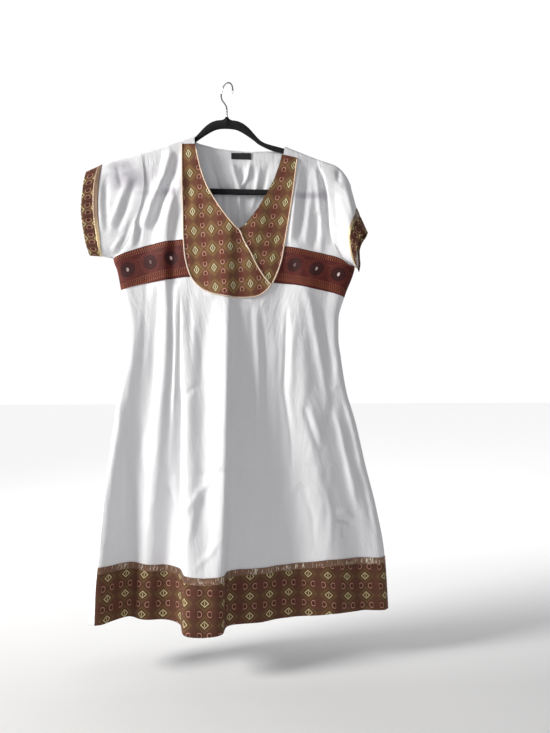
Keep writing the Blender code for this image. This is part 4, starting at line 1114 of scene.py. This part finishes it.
def make_panels():
    """Front and back of the body, each one fine shell with its creases and folded edges."""
    made = []
    for name, node, left, right, neck_points, columns, zones, creases, seed in PANELS:
        corners = [place_at(x, drop, left, right) for x, drop in neck_points]
        places = even_places(min(left, right), max(left, right), columns, PANEL_LEVELS, corners)
        rows = np.concatenate((
            np.linspace(0, ROLL_SHARE, 6)[:-1], rows_between(ROLL_SHARE, 1, zones[0]),
            rows_between(1, 2, zones[1]), rows_between(2, 3, zones[2]), np.linspace(3, 4, zones[3]),
        ))
        u, v = np.meshgrid(places, rows, indexing="ij")
        points = cloth(u, v, quick_lines(u))
        normals = facing(grid_normals(points), node == "back_panel")
        flat_top = np.clip((v - ROLL_SHARE) / 0.12, 0, 1)
        at_side = np.clip(np.minimum(u - u.min(), u.max() - u) / SIDE_FADE, 0, 1)
        relief = relief_at(points[..., 0], -points[..., 2], creases, seed)
        points = points + normals * (relief * flat_top * at_side)[..., None]
        whole = tucked(points, normals, RIM, HEM_FOLD_ROWS, (True, True))
        # Painted shade where the hanger shows through, on the front only
        shade = through_shade(whole) if node == "front_panel" else np.zeros(whole.shape[:-1])
        faces = grid_faces(whole.shape[0], whole.shape[1])
        made.append(new_mesh(name, whole, faces, cut_map(whole), WHITE, [node], shade))
    return made


def laid_grid(name, x, drop, uvs, material, lift):
    """Printed piece that lies on the front, with its edge turned down to the cloth all round."""
    low = front_at(x, drop, LAID_DEPTH)
    return closed_patch(name, front_at(x, drop, lift), low, uvs, material)


def branch(line, rising):
    """The part of an outline that goes down, or that comes back up, as drops and xs, by rising drop."""
    lowest = int(np.argmax(line[:, 1]))
    part = line[:lowest + 1] if rising else line[lowest:][::-1]
    keep = np.concatenate(([True], np.diff(np.maximum.accumulate(part[:, 1])) > 0))
    return part[keep, 1], part[keep, 0]


def print_map(x, drop, facts):
    """Place of each point on the print, with a diamond where the facts say."""
    x0, drop0 = facts["diamond"]
    across = (x - x0) + facts["lean"] * (drop - drop0)
    along_stripe = (drop - drop0) + facts["rise"] * (x - x0)
    return np.stack((along_stripe, across), -1)


def make_bib():
    """The two printed pieces of the bib, the left one over the right one."""
    outline = curve_through(BIB_OUTLINE, 3.0)
    left_drop, left_x = branch(outline, True)
    right_drop, right_x = branch(outline, False)
    neck = curve_through([(x, drop) for x, drop in FRONT_TOP if -64 < x <= V_BOTTOM[0]], 3.0)
    wrap = curve_through(WRAP_EDGE, 3.0)
    neck_right = [(x, drop) for x, drop in FRONT_TOP if V_BOTTOM[0] <= x < NECK_RIGHT]
    bottom = float(outline[:, 1].max())
    over_edge = np.concatenate((neck[:-1], wrap[wrap[:, 1] > V_BOTTOM[1]]))

    shares = np.sin(np.linspace(0, 0.5 * math.pi, 150))
    drops = BIB_OUTLINE[0][1] + 0.5 + (bottom - BIB_OUTLINE[0][1] - 0.7) * shares
    low = np.interp(drops, left_drop, left_x)
    high = np.interp(drops, over_edge[:, 1], over_edge[:, 0])
    high = np.where(drops > WRAP_END, np.interp(drops, right_drop, right_x), high)
    high = np.minimum(high, np.interp(drops, right_drop, right_x))
    high = np.maximum(high, low + 0.5)
    t = np.linspace(0, 1, 90)[:, None]
    x = low[None] + (high - low)[None] * t
    drop = np.broadcast_to(drops[None], x.shape)
    over_map = print_map(x, drop, BIB_OVER_PRINT)
    over = laid_grid("bib_over", x, drop, over_map, BIB_PRINT, PRINT_LIFT + WRAP_LIFT)

    first = BIB_OUTLINE[-1][1]
    drops = first + (WRAP_END + 1 - first) * np.linspace(0, 1, 120)
    neck_line = np.array(neck_right, float)[::-1]
    low = np.interp(drops, neck_line[:, 1], neck_line[:, 0])
    under_wrap = np.interp(drops, wrap[:, 1], wrap[:, 0]) - 3.0
    low = np.where(drops > V_BOTTOM[1], under_wrap, low - 1.2)
    high = np.interp(drops, right_drop, right_x)
    high = np.maximum(high, low + 0.5)
    t = np.linspace(0, 1, 60)[:, None]
    x = low[None] + (high - low)[None] * t
    fade = np.clip(1 - (drops - first) / 40, 0, 1)
    drop = drops[None] - 6.0 * (1 - t) * fade[None]
    under_map = print_map(x, drop, BIB_UNDER_PRINT)
    under = laid_grid("bib_under", x, drop, under_map, BIB_UNDER_CLOTH, PRINT_LIFT)
    return over, under, outline, neck, wrap


def tube(name, centres):
    """Round piping along a line of centres, closed at both ends, in place of the node of its name."""
    ahead = unit(np.gradient(centres, axis=0))
    out = np.array((0.0, -1.0, 0.0))
    side = unit(np.cross(ahead, out))
    up = unit(np.cross(side, ahead))
    angles = np.linspace(0, 2 * math.pi, PIPING_SIDES, endpoint=False)
    rings = centres[:, None] + PIPING_RADIUS * (side[:, None] * np.cos(angles)[None, :, None]
                                                + up[:, None] * np.sin(angles)[None, :, None])
    count = len(centres)
    faces = [(a, d, c, b) for a, b, c, d in grid_faces(count, PIPING_SIDES, round_down=True)]
    last = range((count - 1) * PIPING_SIDES, count * PIPING_SIDES)
    faces += [tuple(range(PIPING_SIDES)), tuple(reversed(last))]
    length = lengths_along(centres)
    uvs = np.stack(np.broadcast_arrays(length[:, None], PIPING_RADIUS * angles[None]), -1)
    return new_mesh(name, rings, faces, uvs, CREAM, [name])


def make_piping(outline, neck, wrap):
    """Piping round the bib's outline, and down the left neck edge and the wrapped edge."""
    steps = curve_through(as_rows(outline[::3]), 2.0)
    centres = front_at(steps[:, 0], steps[:, 1], PRINT_LIFT + 0.6)
    round_bib = tube("bib_piping", centres)
    edge = np.concatenate((neck[4:-1], wrap[wrap[:, 1] > V_BOTTOM[1]]))
    steps = curve_through(as_rows(edge[::3]), 2.0)
    centres = front_at(steps[:, 0] + 0.3, steps[:, 1], PRINT_LIFT + 1.0)
    down_neck = tube("neck_piping", centres)
    return round_bib, down_neck


def as_rows(points):
    """Points as a list of tuples."""
    return [tuple(point) for point in np.asarray(points).tolist()]


def make_bands(outline):
    """The woven band each side of the bib."""
    left_drop, left_x = branch(outline, True)
    right_drop, right_x = branch(outline, False)
    made = []
    for side, low, high, motifs, material in (
        ("left", EDGE_INSET, 7.0, LEFT_MOTIFS, LEFT_RIBBON),
        ("right", RIGHT_END - EDGE_INSET, 8.0, RIGHT_MOTIFS, RIGHT_RIBBON),
    ):
        rows = np.linspace(1.0, 2.0, BAND_ROWS)
        columns = []
        for row in rows:
            us = np.linspace(low, high, 400)
            points = cloth(us, np.full(us.shape, row), quick_lines(us))
            table = (left_drop, left_x) if side == "left" else (right_drop, right_x)
            gap = (points[:, 0] - np.interp(-points[:, 2], *table)) * (1 if side == "left" else -1)
            inner = float(np.interp(0.0, gap, us))
            length = lengths_along(points)
            inner_length = float(np.interp(inner, us if side == "left" else us[::-1],
                                           length if side == "left" else length[::-1]))
            columns.append(np.interp(np.linspace(0, inner_length, BAND_COLUMNS), length, us))
        u = np.array(columns).T
        if side == "right":
            u = u[::-1]
        v = np.broadcast_to(rows[None], u.shape)
        points = cloth(u, v, quick_lines(u))
        normals = facing(grid_normals(points))
        at_side = np.clip(np.minimum(u, RIGHT_END - u) / SIDE_FADE, 0, 1)
        relief = relief_at(points[..., 0], -points[..., 2]) * at_side
        uvs = cut_map(points)
        middle_x = points[:, BAND_ROWS // 2, 0]
        places = [float(np.interp(x, middle_x, uvs[:, BAND_ROWS // 2, 0])) for x, _ in motifs]
        targets = [place * MOTIF_REPEAT for place in range(len(motifs))]
        shift = np.interp(uvs[..., 0], places, targets)
        shift = np.where(uvs[..., 0] < places[0], uvs[..., 0] - places[0], shift)
        shift = np.where(uvs[..., 0] > places[-1], uvs[..., 0] - places[-1] + targets[-1], shift)
        uvs = np.stack((shift, uvs[..., 1]), -1)
        outer = points + normals * (relief + BAND_LIFT)[..., None]
        inner = points + normals * (relief - 0.2)[..., None]
        name = f"bust_band_{side}"
        made.append(closed_patch(name, outer, inner, uvs, material))
    return made


def closed_patch(name, outer, inner, uvs, material):
    """Patch with its edge turned down all round, in place of the node of its name."""
    count_x, count_z = outer.shape[:2]
    loop = [(i, 0) for i in range(count_x)]
    loop += [(count_x - 1, j) for j in range(1, count_z)]
    loop += [(i, count_z - 1) for i in range(count_x - 2, -1, -1)]
    loop += [(0, j) for j in range(count_z - 2, 0, -1)]
    index = np.array([i * count_z + j for i, j in loop])
    points = np.concatenate((outer.reshape(-1, 3), inner.reshape(-1, 3)[index]))
    maps = np.concatenate((uvs.reshape(-1, 2), uvs.reshape(-1, 2)[index]))
    faces = grid_faces(count_x, count_z)
    start = count_x * count_z
    for k, a in enumerate(index):
        after = (k + 1) % len(index)
        faces.append((int(index[after]), int(a), start + k, start + after))
    return new_mesh(name, points, faces, maps, material, [name])


def make_hem():
    """Printed hem band and the crinkled ribbon along its top."""
    places = even_places(0.0, float(RIGHT_END), 420, (960, 1040))
    ribbon_row = 3.0 + HEM_RIBBON / HEM_BAND
    made = []
    for name, low, high, count, material, slot, lift in (
        ("hem_ribbon", 3.0, ribbon_row + 0.004, 10, CRINKLED, "gold_ribbon", 1.1),
        ("hem_band", ribbon_row - 0.01, 4.0, 40, HEM_PRINT, "printed_cotton", 0.7),
    ):
        rows = np.linspace(low, high, count)
        u, v = np.meshgrid(places, rows, indexing="ij")
        points = cloth(u, v, quick_lines(u))
        normals = facing(grid_normals(points))
        at_side = np.clip(np.minimum(u, RIGHT_END - u) / SIDE_FADE, 0, 1)
        relief = relief_at(points[..., 0], -points[..., 2]) * at_side
        if name == "hem_ribbon":
            along_hem = cut_map(points)[..., 0]
            crinkle = 0.5 * np.sin(along_hem / 2.3) * np.sin(along_hem / 7.1 + 1.0)
            relief = relief + crinkle * np.sin(math.pi * np.linspace(0, 1, count))[None]
        uvs = cut_map(points)
        if name == "hem_band":
            middle = points[:, count // 2, 0]
            start = float(np.interp(HEM_DIAMOND_X, middle, uvs[:, count // 2, 0]))
            row_drop = smooth(HEM_ROW, points[..., 0])
            uvs = np.stack((uvs[..., 0] - start, -points[..., 2] - row_drop), -1)
        outer = points + normals * (relief + lift)[..., None]
        inner = points + normals * (relief - 0.9)[..., None]
        made.append(closed_patch(name, outer, inner, uvs, material))
    return made


PANEL_LEVELS = (250, 700, 1040)
PANELS = (
    # name, node, places of the left and right edge, neck points
    # columns, rows of the four zones, creases, seed
    ("front", "front_panel", 0, RIGHT_END, FRONT_NECK_POINTS,
     268, (76, 26, 206, 36), FRONT_CREASES, FRONT_SEED),
    ("back", "back_panel", BACK_END, BACK_START, BACK_NECK_POINTS,
     220, (60, 20, 150, 28), BACK_CREASES, BACK_SEED),
)
SLEEVE_ROWS = np.concatenate((np.linspace(0, ROLL_SHARE, 5)[:-1], np.linspace(ROLL_SHARE, 1, 62)))


def sleeve_rings(side):
    """Three rings of a sleeve with the same number of points: armhole, cuff seam and cuff end."""
    sizes = SLEEVES[side]
    front_place, back_place = (0, BACK_END) if side == "left" else (RIGHT_END, BACK_START)
    halves = []
    for place in (front_place, back_place):
        u = np.full(SLEEVE_ROWS.shape, float(place))
        halves.append(cloth(u, SLEEVE_ROWS, quick_lines(u)))
    front, back = halves
    length = lengths_along(front)
    shares = length / length[-1]
    armhole = np.concatenate((front, back[-2:0:-1]))
    armhole[0, 1] = 0.0
    armhole[len(front) - 1, 1] = 0.0
    rings = [armhole]
    for key in ("seam", "end"):
        parts = []
        for name in (key, key + "_back"):
            parts.append(along([(x, depth, -drop) for x, drop, depth in sizes[name]], shares))
        rings.append(np.concatenate((parts[0], parts[1][-2:0:-1])))
    weights = np.concatenate((1 - shares, (1 - shares)[-2:0:-1]))
    return rings, weights


def sleeve_points(side, stations):
    """Points of a sleeve at stations: 0 is the armhole, 1 the cuff seam and 2 the cuff end."""
    (armhole, seam, end), weights = sleeve_rings(side)
    fold = [(x, 0.0, -drop) for x, drop in SLEEVES[side]["fold"]]
    columns = []
    for station in stations:
        share = np.clip(station, 0, 1)
        point = armhole + (seam - armhole) * share
        top = along(fold, np.array([share]))[0]
        lift = top - (fold[0] + (np.array(fold[-1]) - fold[0]) * share)
        point = point + lift * (weights ** FOLD_FADE)[:, None] + (end - seam) * np.clip(station - 1, 0, 1)
        columns.append(point)
    return np.stack(columns, 1)


def make_sleeves():
    """Sleeves, printed cuffs and the metallic trim beside each cuff."""
    made = {}
    for side in SLEEVES:
        stations = np.concatenate((np.linspace(0, 1, SLEEVE_STEPS), np.linspace(1, 2, CUFF_STEPS)[1:]))
        points = sleeve_points(side, stations)
        normals = grid_normals(points, True)
        middle = points.mean(axis=0, keepdims=True)
        if np.einsum("ijk,ijk->", normals, points - middle) < 0:
            normals = -normals
        x, drop = points[..., 0], -points[..., 2]
        facing = np.where(normals[..., 1] < 0, 1.0, BACK_SLEEVE_SHARE)
        fade = np.clip(np.minimum(stations / 0.15, (2.0 - stations) / 0.5), 0, 1)[None]
        relief = crease_height(x, drop + np.where(normals[..., 1] < 0, 0, 12), SLEEVE_CREASES)
        relief = (relief + 0.8 * cloth_waves(x, drop, SLEEVE_SEED)) * facing * fade
        points = points + normals * relief[..., None]
        seam = points[:, SLEEVE_STEPS - 1]
        around = np.cumsum(np.linalg.norm(np.roll(seam, -1, axis=0) - seam, axis=1))
        sleeve = points[:, :SLEEVE_STEPS]
        start = sleeve[:, [0]] - normals[:, [0]] * 0.8
        sleeve = np.concatenate((start, sleeve), axis=1)
        # Painted shade where the hanger shows through, weaker on the back half
        shade = through_shade(sleeve) * np.where(normals[:, :1, 1] < 0, 1.0, 0.3)
        faces = grid_faces(sleeve.shape[0], sleeve.shape[1], True)
        name = f"sleeve_{side}"
        made[name] = new_mesh(name, sleeve, faces, cut_map(sleeve), WHITE, [name], shade)
        cuff = points[:, SLEEVE_STEPS - 1:]
        cuff_normals = normals[:, SLEEVE_STEPS - 1:]
        lifted = cuff + cuff_normals * 0.5
        whole = tucked(lifted, cuff_normals, 1.6, 12, (False, True))
        inside = (CUFF_WIDTH, CUFF_WIDTH - 1, 4.0)
        rows = np.concatenate((np.linspace(0, CUFF_WIDTH, cuff.shape[1]), inside))
        cuff_map = np.stack(np.broadcast_arrays(around[:, None], rows[None] + 3.0), -1)
        faces = grid_faces(whole.shape[0], whole.shape[1], True)
        name = f"cuff_{side}"
        made[name] = new_mesh(name, whole, faces, cuff_map, CUFF_PRINT, [name])
        first = SLEEVE_STEPS - 1 - int(round(CUFF_TRIM / SLEEVE_LENGTH * (SLEEVE_STEPS - 1)))
        strip = points[:, first:SLEEVE_STEPS]
        strip_normals = normals[:, first:SLEEVE_STEPS]
        outer = strip + strip_normals * 0.7
        edge_rows = np.concatenate((strip[:, :1] - strip_normals[:, :1] * 0.2, outer,
                                    strip[:, -1:] - strip_normals[:, -1:] * 0.2), axis=1)
        faces = grid_faces(edge_rows.shape[0], edge_rows.shape[1], True)
        name = f"cuff_trim_{side}"
        made[name] = new_mesh(name, edge_rows, faces, cut_map(edge_rows), TRIM, [name])
    return made


def make_label():
    """Blank label on the inside of the back."""
    xs = np.linspace(LABEL["left"], LABEL["right"], 24)
    drops = np.linspace(LABEL["top"], LABEL["bottom"], 9)
    x, drop = np.meshgrid(xs, drops, indexing="ij")
    us = np.linspace(BACK_START, BACK_END, 900)
    depth = np.empty(x.shape)
    for j, level in enumerate(drops):
        back_x, back_depth = section(us, np.full(us.shape, level))
        order = np.argsort(back_x)
        depth[:, j] = np.interp(xs, back_x[order], back_depth[order])
    relief = relief_at(x, drop, BACK_CREASES, BACK_SEED)
    points = np.stack((x, depth + relief - 1.0, -drop), -1)
    behind = points + np.array((0.0, 0.7, 0.0))
    return closed_patch("neck_label", points, behind, cut_map(points), BLACK_LABEL)


def make_hanger():
    """Flocked loop of arms, arch and bar, with a smooth outline and rounded edges."""
    right = np.array(HANGER_HALF, float)
    outer = curve_through(as_rows(right[:, :2]), 3.0)
    share = lengths_along(outer)
    knots = lengths_along(right[:, :2])
    knots *= share[-1] / knots[-1]
    inner = np.stack([smooth(tuple(zip(knots, right[:, k])), share) for k in (2, 3)], -1)
    left_outer = outer[::-1] * (-1, 1)
    left_inner = inner[::-1] * (-1, 1)
    outer = np.concatenate((outer, [HANGER_BAR_END[:2]], left_outer))
    inner = np.concatenate((inner, [HANGER_BAR_END[2:]], left_inner))
    width = np.linalg.norm(inner - outer, axis=1)[:, None]
    across = (inner - outer) / width
    rim = np.minimum(HANGER_EDGE, 0.4 * width)
    profile = []
    for angle in np.radians(np.arange(-75, 76, 30)):
        profile.append(("outer", 1 - math.cos(angle), math.sin(angle)))
    for angle in np.radians(np.arange(75, -76, -30)):
        profile.append(("inner", 1 - math.cos(angle), math.sin(angle)))
    rings = []
    for edge, back_in, depth in profile:
        flat = outer + across * rim * back_in if edge == "outer" else inner - across * rim * back_in
        rings.append(np.stack((flat[:, 0], np.full(len(flat), HANGER_HALF_DEPTH * depth), -flat[:, 1]), -1))
    points = np.stack(rings, 1)
    faces = grid_faces(points.shape[0], points.shape[1], True, True)
    return new_mesh("hanger", points, faces, None, FLOCK, ["hanger_body"])


def make_hook():
    """Bright wire hook with a rounded tip."""
    radius = HOOK_RADIUS + 0.5 * WIRE
    route = [(0.0, -(COLLAR_TOP + 3.0)), (0.0, -58.0), (0.3, -50.0), (3.2, -42.0)]
    for k in range(HOOK_ARC_POINTS + 1):
        angle = math.radians(HOOK_START + (HOOK_TIP - HOOK_START) * k / HOOK_ARC_POINTS)
        route.append((radius * math.cos(angle), radius * math.sin(angle) - HOOK_RADIUS))
    turn = math.radians(HOOK_TURN)
    points = [(out * math.cos(turn), out * math.sin(turn), up) for out, up in route]
    path = curve_through(points, 1.6)
    ahead = unit(np.gradient(path, axis=0))
    flat = np.array((-math.sin(turn), math.cos(turn), 0.0))
    side = unit(np.cross(ahead, flat))
    sides = 14
    angles = np.linspace(0, 2 * math.pi, sides, endpoint=False)
    radii = np.full(len(path), 0.5 * WIRE)
    from_tip = np.linalg.norm(path - path[-1], axis=1)
    radii = np.where(from_tip < 0.5 * WIRE, np.sqrt(np.maximum(0.02, (0.5 * WIRE) ** 2
                                                              - (0.5 * WIRE - from_tip) ** 2)), radii)
    rings = path[:, None] + radii[:, None, None] * (flat[None, None] * np.cos(angles)[None, :, None]
                                                    + side[:, None] * np.sin(angles)[None, :, None])
    count = len(path)
    faces = grid_faces(count, sides, round_down=True)
    faces += [tuple(reversed(range(sides))), tuple(range((count - 1) * sides, count * sides))]
    return new_mesh("hook", rings, faces, None, CHROME, ["hanger_hook"])


def make_stage():
    """Pale floor far below, soft light from the left and an even pale sky."""
    mesh = bpy.data.meshes.new("floor")
    corners = [(x * FLOOR_REACH, y * FLOOR_REACH, 0) for x, y in ((-1, -1), (1, -1), (1, 1), (-1, 1))]
    mesh.from_pydata(corners, [], [(0, 1, 2, 3)])
    floor = bpy.data.objects.new("floor", mesh)
    floor.location = (0.1, 0, -FLOOR_DROP * MM)
    bpy.context.scene.collection.objects.link(floor)
    material, shader, maths = new_material("pale_floor", 0.95)
    place = maths.node("ShaderNodeTexCoord")
    speck = maths.noise(place.outputs["Object"], 2.0, 2.0)
    maths.set(shader.inputs["Base Color"], maths.mix(speck, (0.80, 0.80, 0.80), (0.77, 0.77, 0.77)))
    deep = maths.node("ShaderNodeSeparateXYZ")
    maths.set(deep.inputs[0], place.outputs["Object"])
    glow = maths.do("MULTIPLY_ADD", deep.outputs[1], 0.9, 0.12, clamp=True)
    shader.inputs["Emission Color"].default_value = (1.0, 1.0, 1.0, 1.0)
    maths.set(shader.inputs["Emission Strength"], maths.do("MULTIPLY", glow, FLOOR_GLOW))
    mesh.materials.append(material)
    world = bpy.context.scene.world or bpy.data.worlds.new("world")
    bpy.context.scene.world = world
    world.use_nodes = True
    background = world.node_tree.nodes["Background"]
    background.inputs[0].default_value = (0.99, 0.985, 1.0, 1.0)
    sky = Maths(world)
    direction = sky.node("ShaderNodeTexCoord")
    split = sky.node("ShaderNodeSeparateXYZ")
    sky.set(split.inputs[0], direction.outputs["Generated"])
    behind = sky.do("MULTIPLY_ADD", split.outputs[1], 6.0, -3.7, clamp=True)
    overhead = sky.do("POWER", sky.do("MAXIMUM", split.outputs[2], 0.0), 2.0)
    level = sky.do("ADD", sky.do("MULTIPLY", behind, SKY_BEHIND), sky.do("MULTIPLY", overhead, SKY_TOP))
    level = sky.do("ADD", level, SKY_ROUND)
    seen = sky.node("ShaderNodeLightPath").outputs["Is Camera Ray"]
    sky.set(background.inputs[1], sky.do("MAXIMUM", level, sky.do("MULTIPLY", seen, SKY_SEEN)))
    for name, place, aim, size, energy, colour in LIGHTS:
        data = bpy.data.lights.new(name, "AREA")
        data.shape = "DISK"
        data.size = size
        data.energy = energy
        data.color = colour
        data.spread = math.radians(LIGHT_SPREAD)
        light = bpy.data.objects.new(name, data)
        light.location = place
        direction = np.array(aim) - np.array(place)
        light.rotation_euler = aim_rotation(direction)
        bpy.context.scene.collection.objects.link(light)


def aim_rotation(direction):
    """Euler turn that points a light's -Z along a direction."""
    flat = math.hypot(direction[0], direction[1])
    return (math.atan2(flat, -direction[2]), 0.0, math.atan2(-direction[0], direction[1]))



def make_camera():
    """Level camera in front, turned a little, at the photograph's distance and angle."""
    bpy.context.scene.view_settings.view_transform = "Standard"
    data = bpy.data.cameras.new("camera")
    data.lens = CAMERA_LENS
    data.sensor_width = CAMERA_SENSOR
    camera = bpy.data.objects.new("camera", data)
    camera.location = CAMERA_PLACE
    camera.rotation_euler = (math.radians(90), 0.0, math.radians(CAMERA_TURN))
    bpy.context.scene.collection.objects.link(camera)
    bpy.context.scene.camera = camera


make_camera()
make_stage()
front, back = make_panels()
bib_over, bib_under, bib_line, neck_line, wrap_line = make_bib()
bib_piping, neck_piping = make_piping(bib_line, neck_line, wrap_line)
band_left, band_right = make_bands(bib_line)
hem_ribbon, hem_band = make_hem()
arms = make_sleeves()
label = make_label()
hanger = make_hanger()
make_hook()
